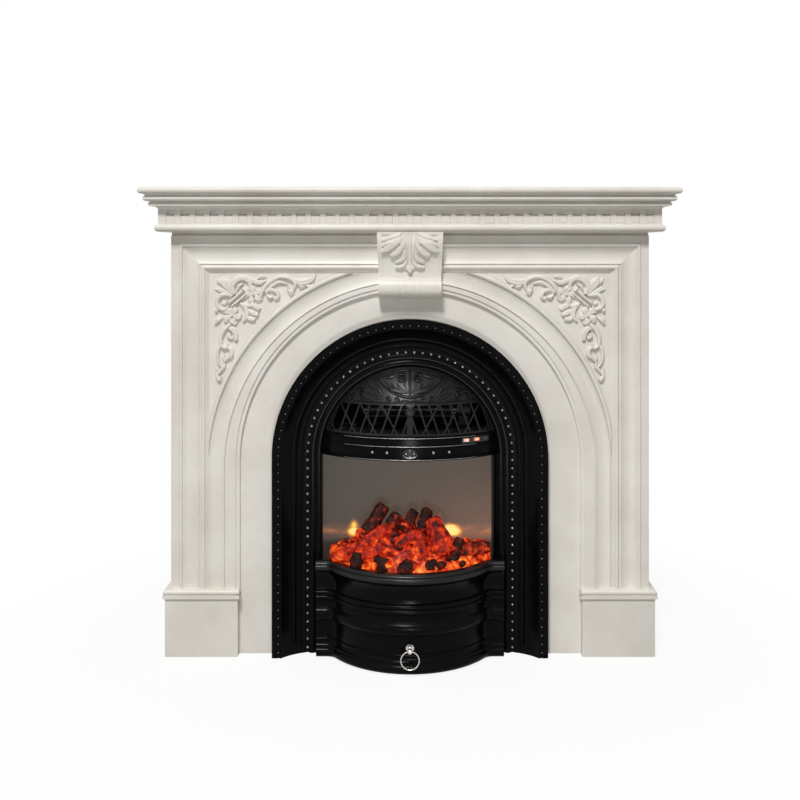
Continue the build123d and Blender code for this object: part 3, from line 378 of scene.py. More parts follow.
# %% Circuit board and batten
circuit, tree = new_finish("green solder mask")
spot = add(tree, "TexCoord").outputs["Object"]
tracks = add(tree, "TexBrick", {"Vector": spot, "Scale": 90.0, "Mortar Size": 0.03}, offset=0.37)
tracks.inputs["Color1"].default_value = linear("#0A2C19")
tracks.inputs["Color2"].default_value = linear("#0C301C")
tracks.inputs["Mortar"].default_value = linear("#1F4A30")
dress(tree, add(tree, "BsdfPrincipled", {"Base Color": tracks.outputs[0], "Roughness": 0.35}))

pine, tree = new_finish("planed pine")
spot = add(tree, "TexCoord").outputs["Object"]
stretched = add(tree, "Mapping", {"Vector": spot, "Scale": (0.06, 1.0, 1.0)})
grown = {"Vector": stretched.outputs[0], "Scale": 40.0, "Distortion": 3.0, "Detail": 3.0}
rings = add(tree, "TexWave", grown, wave_type="RINGS", rings_direction="X")
wood = add(tree, "ValToRGB", {"Fac": rings.outputs[1]}, stops=[(0.1, "#C79B66"), (0.9, "#E0BD8B")])
dress(tree, add(tree, "BsdfPrincipled", {"Base Color": wood.outputs[0], "Roughness": 0.65}))

# %% [markdown]
# ## Flame screen
# The flame picture is thrown from behind on a smoked acrylic sheet. Off the flames it is a dim warm grey
# that gets browner to the lower right. Over the coals stand yellow tongues, one group left and one right,
# in a thin band of orange haze. Each tongue is a place across and up the sheet in metres, its reach and its
# power, so the flames stay put in every view.

# %% Flame screen
TONGUES = (
    (-0.1487, 0.306, 0.028, 0.8), (-0.1480, 0.326, 0.018, 0.45), (0.104, 0.308, 0.026, 0.6),
    (0.122, 0.302, 0.026, 0.5), (-0.114, 0.308, 0.012, 0.6), (0.079, 0.346, 0.009, 0.35),
    (-0.031, 0.322, 0.013, 0.6),
)
SHEET_Y = 0.027
BAND_Z = 0.303
flame_screen, tree = new_finish("smoked acrylic with flame light")
spot = add(tree, "TexCoord").outputs["Object"]
axes = add(tree, "SeparateXYZ", {"Vector": spot})
fall = add(tree, "MapRange", {
    "Value": axes.outputs["Z"], "From Min": 0.30, "From Max": 0.56, "To Min": 1.0, "To Max": 0.0,
})
side = add(tree, "MapRange", {
    "Value": axes.outputs["X"], "From Min": -0.24, "From Max": 0.22, "To Min": 0.0, "To Max": 1.0,
})
lean = add(tree, "Math", {0: fall.outputs[0], 1: side.outputs[0]}, operation="MULTIPLY")
cloud = add(tree, "TexNoise", {"Vector": spot, "Scale": 9.0, "Detail": 2.0})
wobble = add(tree, "MapRange", {"Value": cloud.outputs[0], "To Min": -0.12, "To Max": 0.12})
level = add(tree, "Math", {0: lean.outputs[0], 1: wobble.outputs[0]}, operation="ADD")
smoke = add(tree, "ValToRGB", {"Fac": level.outputs[0]}, stops=[
    (0.0, "#4B443D"), (0.35, "#57493F"), (0.9, "#775A4C")])
drift = add(tree, "Mapping", {"Vector": spot, "Scale": (14.0, 1.0, 40.0)})
streaks = add(tree, "TexNoise", {"Vector": drift.outputs[0], "Scale": 1.0, "Detail": 3.0})
off_band = add(tree, "Math", {0: axes.outputs["Z"], 1: BAND_Z}, operation="SUBTRACT")
off_band = add(tree, "Math", {0: off_band.outputs[0]}, operation="ABSOLUTE")
haze = add(tree, "MapRange", {
    "Value": off_band.outputs[0], "From Min": 0.002, "From Max": 0.026, "To Min": 0.95, "To Max": 0.0,
})
flame = add(tree, "Math", {0: haze.outputs[0], 1: streaks.outputs[0]}, operation="MULTIPLY")
for x, z, reach, power in TONGUES:
    off = add(tree, "VectorMath", {0: spot, 1: (x, SHEET_Y, z)}, operation="SUBTRACT")
    slim = add(tree, "VectorMath", {0: off.outputs[0], 1: (1.35, 0.0, 1.0)}, operation="MULTIPLY")
    far = add(tree, "VectorMath", {0: slim.outputs[0]}, operation="LENGTH")
    tongue = add(tree, "MapRange", {
        "Value": far.outputs["Value"],
        "From Min": 0.2 * reach,
        "From Max": reach,
        "To Min": power,
        "To Max": 0.0,
    })
    flame = add(tree, "Math", {0: flame.outputs[0], 1: tongue.outputs[0]}, operation="ADD")
licks = add(tree, "MapRange", {
    "Value": streaks.outputs[0], "From Min": 0.3, "From Max": 0.7, "To Min": 0.7, "To Max": 1.15,
})
flame = add(tree, "Math", {0: flame.outputs[0], 1: licks.outputs[0]}, operation="MULTIPLY")
fire = add(tree, "ValToRGB", {"Fac": flame.outputs[0]}, stops=[
    (0.06, "#000000"), (0.36, "#5A3017"), (0.62, "#B8651C"), (0.86, "#FFC43C"), (1.0, "#FFE98A")])
shadow = add(tree, "MapRange", {
    "Value": axes.outputs["Z"], "From Min": 0.272, "From Max": 0.286, "To Min": 0.4, "To Max": 1.0,
})
smoke = add(tree, "VectorMath", {0: smoke.outputs[0], "Scale": shadow.outputs[0]}, operation="SCALE")
layers = {0: 1.0, 6: smoke.outputs[0], 7: fire.outputs[0]}
light = add(tree, "Mix", layers, data_type="RGBA", blend_type="ADD")
dress(tree, add(tree, "BsdfPrincipled", {
    "Base Color": linear("#0E0C0B"),
    "Roughness": 0.45,
    "Specular IOR Level": 0.2,
    "Emission Color": light.outputs[2],
    "Emission Strength": 0.92,
}))

# %% [markdown]
# ## Glowing fuel
# The coals are one moulding of translucent resin under uneven black paint, lit red from below. Noise 19 mm
# wide decides where the paint is thin, and the glow fades with height. The logs are the same resin with
# bark 16 mm wide. They get three coats: a common one, a thin one that glows through, and a thick charred
# one.

# %% Embers
embers, tree = new_finish("translucent resin embers")
spot = add(tree, "TexCoord").outputs["Object"]
axes = add(tree, "SeparateXYZ", {"Vector": spot})
lumps = add(tree, "TexNoise", {
    "Vector": spot, "Scale": 52.0, "Detail": 5.0, "Roughness": 0.62, "Distortion": 0.2,
})
foot = add(tree, "MapRange", {
    "Value": axes.outputs["Z"], "From Min": 0.250, "From Max": 0.325, "To Min": 0.07, "To Max": -0.09,
})
lit = add(tree, "Math", {0: lumps.outputs[0], 1: foot.outputs[0]}, operation="ADD")
heat = add(tree, "ValToRGB", {"Fac": lit.outputs[0]}, stops=[
    (0.36, "#260300"), (0.44, "#7C0E04"), (0.53, "#C82C0C"), (0.63, "#FF6A22"), (0.76, "#FFB64A")])
crust = add(tree, "TexNoise", {"Vector": spot, "Scale": 160.0, "Detail": 3.0})
rough = add(tree, "Bump", {"Height": crust.outputs[0], "Strength": 0.4, "Distance": 0.002})
dress(tree, add(tree, "BsdfPrincipled", {
    "Base Color": linear("#1E0502"),
    "Roughness": 0.5,
    "Normal": rough.outputs[0],
    "Specular IOR Level": 0.12,
    "Emission Color": heat.outputs[0],
    "Emission Strength": 1.0,
}))

# %% Logs and chars
def fuel_finish(name, heats, low_gain, high_gain, power):
    """Bark in black-brown paint over lit resin; the gains add light near the bed and take it away higher."""
    material, tree = new_finish(name)
    spot = add(tree, "TexCoord").outputs["Object"]
    axes = add(tree, "SeparateXYZ", {"Vector": spot})
    bark = add(tree, "TexNoise", {"Vector": spot, "Scale": 62.0, "Detail": 4.0, "Roughness": 0.62})
    foot = add(tree, "MapRange", {
        "Value": axes.outputs["Z"],
        "From Min": 0.26,
        "From Max": 0.37,
        "To Min": low_gain,
        "To Max": high_gain,
    })
    glow = add(tree, "Math", {0: bark.outputs[0], 1: foot.outputs[0]}, operation="ADD")
    heat = add(tree, "ValToRGB", {"Fac": glow.outputs[0]}, stops=list(zip((0.42, 0.54, 0.66, 0.80), heats)))
    coat = add(tree, "ValToRGB", {"Fac": bark.outputs[0]}, stops=[(0.35, "#0C0504"), (0.7, "#2A110C")])
    ridges = add(tree, "Bump", {"Height": bark.outputs[0], "Strength": 0.6, "Distance": 0.003})
    dress(tree, add(tree, "BsdfPrincipled", {
        "Base Color": coat.outputs[0],
        "Roughness": 0.7,
        "Normal": ridges.outputs[0],
        "Specular IOR Level": 0.15,
        "Emission Color": heat.outputs[0],
        "Emission Strength": power,
    }))
    return material


BARK = ("#0C0201", "#4E0B02", "#B32806", "#F46F1C")
THIN_COAT = ("#3C0502", "#9C1606", "#D8360E", "#FF8230")
THICK_COAT = ("#080201", "#240502", "#6A1404", "#C8420E")
log_resin = fuel_finish("painted resin bark", BARK, 0.14, -0.06, 0.9)
hot_resin = fuel_finish("thinly painted glowing resin", THIN_COAT, 0.10, 0.0, 1.0)
char_resin = fuel_finish("thickly painted charred resin", THICK_COAT, 0.02, 0.0, 0.8)

# %% [markdown]
# ## Paint the model
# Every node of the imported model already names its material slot, so one loop gives each its finish. A few
# nodes share a slot but look different, and those are painted again by name.

# %% Paint every node
finishes = {
    "marble": marble, "cast_black": cast_black, "black_steel": black_steel, "zinc_steel": zinc_steel,
    "bright_metal": bright_metal, "flame_screen": flame_screen, "embers": embers, "log_resin": log_resin,
    "switch_black": switch_black, "lit_rocker": amber_rocker, "dark_rocker": dark_rocker,
    "motor_black": motor_black, "circuit": circuit, "batten_timber": pine,
}


def paint(thing, finish):
    thing.data.materials.clear()
    thing.data.materials.append(finish)


for part in frame["record"]["subparts"]:
    paint(nodes[part["node"]], finishes[part["material_slot"]])
paint(nodes["flame_rocker"], pink_rocker)
for name in ("heater_element", "blower_scroll"):
    paint(nodes[name], black_steel)
for name in ("pierced_hood", "basket_rim"):
    paint(nodes[name], blackleaded)
print("painted", len(nodes), "nodes")

# %% [markdown]
# ## Carving in relief
# Scrolls and leaves on this mantel are low relief: each is a rounded strip that swells and thins along a
# curved line. They could be sculpted, but a strip swept along a short list of points is easy to correct
# against the picture. Each stroke is a line, its half widths along it, its height, and a crease for leaves.
# A `ground` function lays it on the flat field, the keystone, the domed hood or the bowed rail.

# %% Smooth lines through a few points
def spline(p, q, r, s, t):
    """Between q and r of four numbers in a row."""
    bend = (2 * p - 5 * q + 4 * r - s) * t * t
    twist = (3 * q - p - 3 * r + s) * t ** 3
    return 0.5 * (2 * q + (r - p) * t + bend + twist)


def smooth(points, steps=6):
    padded = [points[0], *points, points[-1]]
    line = []
    for four in zip(padded, padded[1:], padded[2:], padded[3:]):
        for i in range(steps):
            line.append(tuple(spline(*axis, i / steps) for axis in zip(*four)))
    return [*line, tuple(points[-1])]


def between(values, t):
    place = t * (len(values) - 1)
    i = min(int(place), len(values) - 2)
    return values[i] + (values[i + 1] - values[i]) * (place - i)


def curl(x, z, outer, start, turns, inner=2.0):
    """A spiral from its outer end inward; start is an angle in degrees, turns is negative for clockwise."""
    count = max(5, int(abs(turns) * 9))
    points = []
    for i in range(count + 1):
        t = i / count
        r = outer + (inner - outer) * t
        a = math.radians(start + 360 * turns * t)
        points.append((x + r * math.cos(a), z + r * math.sin(a)))
    return points


print("a curl has", len(curl(0, 0, 20, 0, 1.5)), "points")


# %% One mesh piece, riding on its body
def piece(name, verts, faces, finish, body="mantel", smooth_faces=True):
    mesh = bpy.data.meshes.new(name)
    mesh.from_pydata(verts, [], faces)
    mesh.polygons.foreach_set("use_smooth", [smooth_faces] * len(faces))
    mesh.materials.append(finish)
    thing = bpy.data.objects.new(name, mesh)
    bpy.context.scene.collection.objects.link(thing)
    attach(thing, body)
    print(name, "has", len(faces), "faces")
    return thing


# %% Sweep the strokes
ACROSS = 9


def relief(name, strokes, ground, finish):
    """Each stroke is its line, its half widths, its height and its crease, in millimetres."""
    verts = []
    faces = []
    for points, widths, height, crease in strokes:
        spine = smooth(points)
        first = len(verts)
        widest = max(widths)
        for i, (x, z) in enumerate(spine):
            x0, z0 = spine[max(i - 1, 0)]
            x1, z1 = spine[min(i + 1, len(spine) - 1)]
            run = math.hypot(x1 - x0, z1 - z0) or 1.0
            half = between(widths, i / (len(spine) - 1))
            for k in range(ACROSS):
                s = -1 + 2 * k / (ACROSS - 1)
                swell = math.sqrt(max(0.0, 1 - s * s)) * (half / widest) ** 0.5
                dip = crease * math.exp(-(s / 0.22) ** 2) * (half / widest)
                lift = height * swell - dip - 0.3 * (abs(s) > 0.99)
                verts.append(ground(x - (z1 - z0) / run * half * s, z + (x1 - x0) / run * half * s, lift))
        for i in range(len(spine) - 1):
            for k in range(ACROSS - 1):
                a = first + i * ACROSS + k
                faces.append((a, a + 1, a + ACROSS + 1, a + ACROSS))
    return piece(name, verts, faces, finish)


def flipped(strokes):
    return [([(-x, z) for x, z in points], *shape) for points, *shape in strokes]


# %% [markdown]
# ## Spandrel carving
# Each upper corner of the arch panel carries one spray: a bud and a big curled leaf in the corner, a ribbon
# tie, two flowers of five swirling petals, and two stems that run out along the top and down the side. The
# right spray is the left one mirrored. It stands 7 to 13 mm proud of the field.

# %% Spandrel strokes, left side
FIELD = 5.0


def field(x, z, lift):
    return at(x, FIELD + lift, z)


def rosette(x, z, reach, turn):
    """A round boss and five petals that lean the same way."""
    strokes = []
    for i in range(5):
        near, far = math.radians(turn + 72 * i), math.radians(turn + 72 * i + 34)
        tip = (x + reach * math.cos(far), z + reach * math.sin(far))
        waist = (x + 0.62 * reach * math.cos(near + 0.2), z + 0.62 * reach * math.sin(near + 0.2))
        strokes.append(([(x, z), waist, tip], (3, 0.46 * reach, 0.2 * reach), 9, 2.5))
    return [*strokes, ([(x - 3.5, z), (x, z), (x + 3.5, z)], (2, 4.5, 2), 13, 0)]


spray = [
    ([(-458.5, 928.6), (-468.1, 944.8), (-479.6, 961.1), (-488.2, 977.4)], (3, 10, 14, 2), 10, 3),
    ([(-460.4, 926.6), (-475.7, 934.3), (-491, 942.9), (-505.4, 944.8)], (3, 8, 8, 1), 8, 2),
    ([(-485.3, 959.2), (-493.9, 964.9), (-499.7, 973.5)], (4, 7, 1), 7, 1),
    ([(-453.7, 932.4), (-460.4, 950.6), (-450.8, 966.8), (-431.7, 973.5), (-416.4, 964.9), (-413.5, 949.6),
      (-424, 941), (-434.6, 947.7)], (5, 9, 10, 9, 8, 6, 5, 4), 10, 2),
    ([(-447, 942), (-442.2, 953.4), (-431.7, 959.2)], (3, 6, 3), 8, 1),
    ([(-418.3, 974.5), (-404.9, 965.9), (-389.6, 961.1), (-371.4, 966.8)], (3, 8, 8, 1), 9, 2),
    ([(-394.4, 972.6), (-383.8, 977.4), (-371.4, 976.4)], (2, 5, 1), 7, 1),
    ([(-468.1, 909.4), (-448.9, 925.7), (-431.7, 941)], (4, 4.5, 4), 11, 0),
    ([(-460.4, 900.8), (-440.3, 917.1), (-423.1, 932.4)], (4, 4.5, 4), 11, 0),
    ([(-466.2, 928.6), (-484.3, 930.5), (-497.7, 918), (-495.8, 899.8), (-480.5, 892.2), (-469, 899.8)],
     (5, 7, 7, 7, 6, 4), 10, 1),
    ([(-486.3, 910.4), (-478.6, 907.5), (-474.8, 914.2)], (4, 7, 4), 8, 0),
    ([(-492, 897), (-500.6, 890.3), (-502.5, 880.7)], (3, 7, 1), 8, 1),
    ([(-439.4, 909.4), (-426.9, 901.8), (-412.6, 901.8)], (4, 7, 4), 9, 1),
    ([(-437.4, 905.6), (-424, 893.1), (-422.1, 875), (-431.7, 860.6)], (4, 8, 8, 3), 9, 2),
    ([(-418.3, 905.6), (-403.9, 901.8), (-388.6, 892.2)], (3, 8, 6), 9, 2),
    ([(-421.2, 892.2), (-406.8, 883.6), (-392.5, 877.8)], (3, 8, 6), 9, 2),
    ([(-426.9, 876.9), (-413.5, 868.2), (-399.2, 867.3)], (3, 8, 6), 9, 2),
    ([(-386.7, 922.8), (-380, 942), (-363.7, 962.1), (-338.8, 975.5), (-313, 973.5), (-297.7, 960.1),
      (-301.5, 943.9), (-312, 939.1), (-314.9, 947.7)], (5, 7, 7.5, 7, 6.5, 6, 5, 5, 4), 10, 0),
    ([(-372.4, 934.3), (-359.9, 950.6), (-338.8, 963), (-317.8, 958.2)], (5, 6.5, 6, 2), 9, 1),
    ([(-310.1, 971.6), (-290, 963), (-270.9, 963), (-253.7, 970.7), (-244.1, 983.1)],
     (4, 10, 11, 8, 2), 10, 3),
    ([(-291.9, 959.2), (-281.4, 951.5), (-270.9, 952.5)], (3, 6, 2), 8, 0),
    ([(-271.8, 958.2), (-259.4, 951.5), (-249.8, 958.2)], (3, 6, 2), 8, 0),
    ([(-376.2, 940), (-358.9, 942.9), (-344.6, 937.2), (-340.8, 924.7), (-350.3, 919.9)],
     (4, 6, 6, 6, 5), 9, 1),
    ([(-371.4, 932.4), (-362.8, 923.8), (-354.2, 925.7)], (3, 7, 5), 9, 0),
    ([(-310.1, 944.8), (-305.3, 937.2), (-312, 932.4)], (4, 7, 4), 9, 0),
    ([(-485.3, 871.1), (-496.8, 864.4), (-504.4, 852)], (3, 8, 2), 9, 2),
    ([(-463.3, 854.8), (-478.6, 841.4), (-488.2, 821.3), (-488.2, 801.2), (-477.6, 792.6), (-469, 800.3)],
     (6, 7.5, 7, 6, 6, 5), 10, 0),
    ([(-470.9, 846.2), (-458.5, 840.5), (-450.8, 828), (-449.9, 812.7)], (5, 9, 8, 6), 9, 2),
    ([(-464.2, 831.9), (-467.1, 821.3), (-458.5, 816.6)], (4, 7, 4), 9, 0),
    ([(-486.3, 806), (-494.9, 790.7), (-497.7, 772.5), (-493.9, 753.4), (-485.3, 741.9)],
     (5, 6, 6, 5, 3), 9, 0),
    ([(-473.8, 795.5), (-462.3, 787.8), (-463.3, 773.5), (-473.8, 764.9), (-482.4, 753.4)],
     (5, 7, 8, 6, 4), 10, 1),
    ([(-479.6, 777.3), (-481.5, 765.8), (-475.7, 758.2)], (3, 6, 4), 9, 0),
    ([(-478.6, 754.3), (-481.5, 742.9), (-490.1, 733.3), (-495.8, 724.7)], (4, 6, 5, 4), 9, 0),
    ([(-499.7, 734.2), (-498.7, 720.8), (-493.9, 710.3), (-489.1, 718)], (4, 6, 7, 5), 9, 0),
]
spray += rosette(-404, 930.5, 24, 20) + rosette(-460, 876, 24, 50)
for side, strokes in (("left", spray), ("right", flipped(spray))):
    carving = relief(f"spandrel_spray_{side}", strokes, field, marble)
    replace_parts(carving, f"spandrel_carving_{side}")
print("each spray has", len(spray), "strokes and", len(carving.data.polygons), "faces")

# %% [markdown]
# ## Keystone leaf
# A hanging acanthus leaf covers the upper part of the keystone: a broad body, six pairs of fingers that
# spread from it, a midrib with four veins beside it, and a round tip. The keystone's face bows forward at
# the top, so the ground follows its side view by a short table of heights and depths. The roll under it has
# faint seams, like a leaf wrapped round a scroll.

# %% Keystone ornament
KEY_HEIGHTS = (948.5, 1008.6, 1034.6, 1062.6, 1084.6, 1092.6)
KEY_DEPTHS = (31.0, 32.0, 40.0, 46.5, 44.0, 44.0)
ROLL_Z = 948.5
ROLL_R = 28.5


def key_front(x, z, lift):
    for z0, z1, a0, a1 in zip(KEY_HEIGHTS, KEY_HEIGHTS[1:], KEY_DEPTHS, KEY_DEPTHS[1:]):
        if z <= z1:
            break
    return at(x, a0 + (a1 - a0) * (z - z0) / (z1 - z0) - 3.0 + lift, z)


half_leaf = [
    ([(-14, 1086), (-15, 1054), (-11, 1022), (-5, 996)], (13, 14, 12, 7), 5, 0),
    ([(-22, 1088), (-36, 1080), (-50, 1077), (-72, 1071)], (5, 9, 8, 4), 8, 1),
    ([(-20, 1078), (-38, 1068), (-56, 1062), (-74, 1054)], (5, 9, 9, 4), 8, 1),
    ([(-22, 1072), (-40, 1060), (-56, 1049), (-73, 1040)], (6, 11, 12, 6), 9, 1.5),
    ([(-16, 1058), (-27, 1044), (-38, 1034), (-50, 1031)], (6, 10, 9, 5), 9, 1.5),
    ([(-12, 1034), (-18, 1022), (-26, 1017), (-38, 1015)], (5, 8, 7, 4), 8, 1),
    ([(-8, 1018), (-14, 1008), (-24, 1003), (-38, 1002)], (4, 7, 6.5, 4), 8, 1),
]
leaf = half_leaf + flipped(half_leaf)
leaf.append(([(0, 1088), (0, 1052), (0, 1016), (0, 998), (0, 988)], (6, 5, 6, 9, 6), 8, 1.2))
leaf += [([(x * 1.3, 1088), (x, 1054), (x * 0.5, 1018)], (1.6, 2.2, 1.2), 6.5, 0) for x in (-22, -12, 12, 22)]
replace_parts(relief("acanthus_leaf", leaf, key_front, marble), "keystone_leaf")


def roll_front(x, z, lift):
    return at(x, 18.0 + math.sqrt(max(0.0, ROLL_R ** 2 - (z - ROLL_Z) ** 2)) + lift, z)


seams = []
for x in (-34, -14, 14, 34):
    seams.append(([(x, 968), (x * 0.72, 950), (x * 1.05, 930)], (0.8, 1.3, 0.8), 0.9, 0))
relief("roll_wraps", seams, roll_front, marble)
print("keystone leaf and", len(seams), "seams")

# %% [markdown]
# ## Frieze tongues
# Each round-headed niche of the frieze is filled to its shoulder by a flat tongue, so that only the head
# shows as a dark scoop. The tongues belong to the frieze casting. Each one is a short bar with a bevelled
# front and a top that slopes back into the niche.

# %% Tongues
def bars(name, columns, profile, shifts, finish):
    """Prisms along x from lists of x places and a profile of (ahead, z); shifts set their ends back."""
    verts = []
    faces = []
    count = len(profile)
    for column in columns:
        first = len(verts)
        for x, back in zip(column, shifts):
            verts += [at(x, max(ahead - back, profile[0][0]), z) for ahead, z in profile]
        for i in range(len(column) - 1):
            for k in range(count):
                a, b = first + i * count + k, first + i * count + (k + 1) % count
                faces.append((a, b, b + count, a + count))
        faces.append(tuple(range(first + count - 1, first - 1, -1)))
        last = first + (len(column) - 1) * count
        faces.append(tuple(range(last, last + count)))
    piece(name, verts, faces, finish, smooth_faces=False)


NICHES = 34
PITCH = 37.1
TONGUE = ((33.2, 1115.2), (39.2, 1115.2), (39.7, 1115.8), (39.7, 1132.0), (38.6, 1133.6), (33.2, 1135.5))
centres = [PITCH * (i - (NICHES - 1) / 2) for i in range(NICHES)]
columns = [[c - 11.3, c - 10.5, c + 10.5, c + 11.3] for c in centres]
bars("frieze_tongues", columns, TONGUE, (0.8, 0, 0, 0.8), marble)
print("tongues:", len(columns))

# %% [markdown]
# ## Hood ornament
# The domed hood is the showpiece casting. Over its pierced lattice lies a boat-shaped panel with a centre
# rib, two volutes and fans of petals, flanked by leaf scrolls, and under it runs a band of small curls.
# Everything is laid on the same sphere as the casting, so it bulges with it.

# %% Hood strokes
HOOD_R = 323.505
HOOD_A = -235.505
SPRING = 514


def dome(x, z, lift):
    r = HOOD_R + lift
    return at(x, HOOD_A + math.sqrt(r * r - x * x - (z - SPRING) ** 2), z)


def arc(x, z, width, height, degrees):
    """Points of an ellipse at the given angles."""
    turns = [math.radians(t) for t in degrees]
    return [(x + width * math.cos(t), z + height * math.sin(t)) for t in turns]


half_hood = [
    ([(0, 671), (30, 677), (60, 692), (88, 713)], (3.2, 3.2, 2.8, 1.4), 5, 0),
    ([(0, 736), (28, 733.5), (58, 725), (88, 713)], (2.4, 2.4, 2.2, 1.4), 4, 0),
    (curl(22, 716, 12, 200, -1.5), (3, 3.4, 3, 2), 5, 0),
    ([(5, 682), (14, 698), (12, 712)], (2, 3.4, 1.5), 4, 1),
    ([(8, 680), (26, 692), (34, 704)], (1.5, 4, 1.2), 4, 1),
    ([(12, 680), (36, 690), (50, 704)], (1.5, 4, 1.2), 4, 1),
    ([(20, 681), (46, 690), (64, 707)], (1.5, 4, 1.2), 4, 1),
    ([(36, 722), (50, 718), (62, 714)], (1.2, 3.4, 1.2), 4, 1),
    ([(70, 671), (80, 690), (96, 711)], (1.5, 5, 1.2), 4, 1.2),
    ([(72, 669), (88, 682), (106, 696)], (1.5, 5, 1.2), 4, 1.2),
    ([(74, 667), (92, 671), (112, 680)], (1.5, 4.5, 1.2), 4, 1.2),
    (curl(126, 676, 11, 110, -1.4), (3, 3.2, 3, 2), 5, 0),
    (curl(150, 664, 9, 110, -1.3), (2.6, 2.8, 2.4, 2), 4, 0),
    ([(112, 690), (124, 694), (136, 690)], (1.2, 3.6, 1.2), 4, 1),
    ([(138, 680), (148, 680), (158, 672)], (1.2, 3.4, 1.2), 4, 1),
    ([(96, 661), (112, 662), (126, 661)], (1.2, 3, 1.2), 4, 0.8),
    ([(0, 661), (14, 664), (26, 660)], (1.5, 2.4, 1.5), 3.5, 0),
    (curl(34, 664, 7, 200, -1.3, 1.5), (2, 2.2, 2, 1.6), 3.5, 0),
    (curl(54, 666, 7, 340, 1.3, 1.5), (2, 2.2, 2, 1.6), 3.5, 0),
    ([(0, 640), (7, 648), (16, 655)], (2.2, 2.2, 1.6), 3, 0),
    ([(0, 622), (8, 630), (13, 640)], (1.8, 2, 1.2), 3, 0),
]
hood = half_hood + flipped(half_hood)
hood.append(([(0, 737), (0, 705), (0, 671)], (3, 4.4, 3), 6, 0))
hood.append((arc(0, SPRING, 222, 222, range(41, 140, 7)), (1.6, 1.8, 1.6), 2.6, 0))
BAND = range(-168, 169, 24)
hood.append(([(x, 657.5) for x in BAND], (1.4, 1.6, 1.4), 2.4, 0))
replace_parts(relief("hood_ornament", hood, dome, blackleaded), "hood_medallion")
print("the hood has", len(hood), "strokes")

# %% [markdown]
# ## Beads and studs
# Two rows of beads run up the jambs and over the arch of the cast surround, with two plain ribs between
# them on the splay. Small studs, the lower lip of a boss and three crests mark the rail. Beads, studs, lip
# and crests are bright bare metal, partly rubbed wear and partly painted highlight: the lip is only its lower
# arc and the crests are thin strips laid where the rail's glints fall. The beads could be instances, but one
# mesh made of many small balls keeps the file light and exports as it is.

# %% Rows of beads
ball = bmesh.new()
bmesh.ops.create_icosphere(ball, subdivisions=2, radius=1.0)
BALL = [v.co.copy() for v in ball.verts]
BALL_FACES = [[v.index for v in f.verts] for f in ball.faces]
ball.free()


def studs(name, places, finish):
    """places: centre in metres and radius in millimetres."""
    verts = []
    faces = []
    for centre, radius in places:
        first = len(verts)
        verts += [centre + v * radius / 1000 for v in BALL]
        faces += [[first + i for i in face] for face in BALL_FACES]
    return piece(name, verts, faces, finish)


JAMB = 500


def bead_row(name, radius, ahead, size, pitch):
    over = math.pi * radius
    count = round((over + 2 * JAMB) / pitch)
    places = []
    for i in range(count + 1):
        along = (over + 2 * JAMB) * i / count - JAMB
        if along < 0:
            x, z = -radius, SPRING + along
        elif along > over:
            x, z = radius, SPRING - (along - over)
        else:
            x, z = -radius * math.cos(along / radius), SPRING + radius * math.sin(along / radius)
        places.append((at(x, ahead, z), size))
    # The beads are bright bare metal: partly rubbed wear, partly painted highlight.
    return studs(name, places, rubbed_iron_and_glint)


SPLAY_R = 272.0


def cove(x, z, lift):
    """Ahead of the surround's splay, a parabola through its foot, middle and top."""
    out = (math.hypot(x, z - SPRING) if z > SPRING else abs(x)) - SPLAY_R
    return at(x, -5.0 + 0.2486 * out + 0.006713 * out * out + lift, z)


def over_arch(radius):
    """Up the left jamb, over the arch and down the right jamb."""
    rise = range(SPRING - JAMB, SPRING, 50)
    left = [(-radius, z) for z in rise]
    right = [(radius, z) for z in reversed(rise)]
    return left + arc(0, SPRING, radius, radius, range(180, -1, -5)) + right


ribs = [(over_arch(299), (6, 6), 3.5, 0), (over_arch(284), (3, 3), 2.6, 0)]
relief("splay_ribs", ribs, cove, cast_black)
inner_beads = bead_row("inner_bead_row", 266, -5.2, 3.4, 22)
outer_beads = bead_row("outer_bead_row", 338, 31.0, 1.4, 22)
print("beads:", len(inner_beads.data.vertices) // len(BALL), len(outer_beads.data.vertices) // len(BALL))


# %% Rail studs, the boss and painted highlights
RAIL_R = 324.5
ROCKER_Z = 537


def rail(x, z, lift):
    r = RAIL_R + lift
    return at(x, HOOD_A + math.sqrt(r * r - x * x), z)


def rail_relief(name, stroke, proud):
    relief(name, [stroke], lambda x, z, lift: rail(x, z, lift + proud), rubbed_iron_and_glint)


rail_places = [(rail(x, ROCKER_Z, -0.5), 4.2) for x in (-94.4, -57.6, 58.6, 98.6)]
cross = ((-10, 0), (10, 0), (0, 7.5), (0, -7.5))
rail_places += [(rail(x, ROCKER_Z + z, 6.5), 2.4) for x, z in cross]
# The studs are bright bare metal: partly rubbed wear, partly painted highlight.
studs("rail_studs", rail_places, rubbed_iron_and_glint)
# Painted highlight: only the lower arc of the boss's lip is laid in bright metal, where its glint falls.
lip = arc(0, ROCKER_Z, 18.2, 11.2, range(195, 346, 15))
rail_relief("boss_lip_painted_highlight", (lip, (0.8, 2.2, 0.8), 2.2, 0), 6.4)
# Painted highlights: three thin bright metal strips along the crests of the rail's tori.
for i, (z, proud) in enumerate(((520, 4.0), (553, 3.0), (574, 4.0))):
    rail_relief(f"rail_crest_painted_highlight_{i}", ([(x, z) for x in BAND], (0.4, 0.8, 1.0, 0.8, 0.4), 0.5, 0), proud)

# %% [markdown]
# ## Ember bed
# The bed is a rubble of glowing lumps heaped against the screen and falling to the basket's rim. A ridge
# line of thirteen heights follows the heap's outline in the picture, cell noise 38 mm wide breaks the slope
# into lumps, and loose coals, some of them charred, lie on it.

# %% Height of the heap
BASKET_R = 242.3
BASKET_A = -103.3
BED_WIDTH = 416
DECK = 234
RIDGE = (32, 40, 52, 66, 80, 86, 84, 76, 60, 48, 44, 42, 36)


def front_of(x):
    """How far ahead the bed ends, 24 mm inside the bowed basket."""
    return max(34.0, BASKET_A + math.sqrt(max(0.0, BASKET_R ** 2 - x * x))) - 24.0


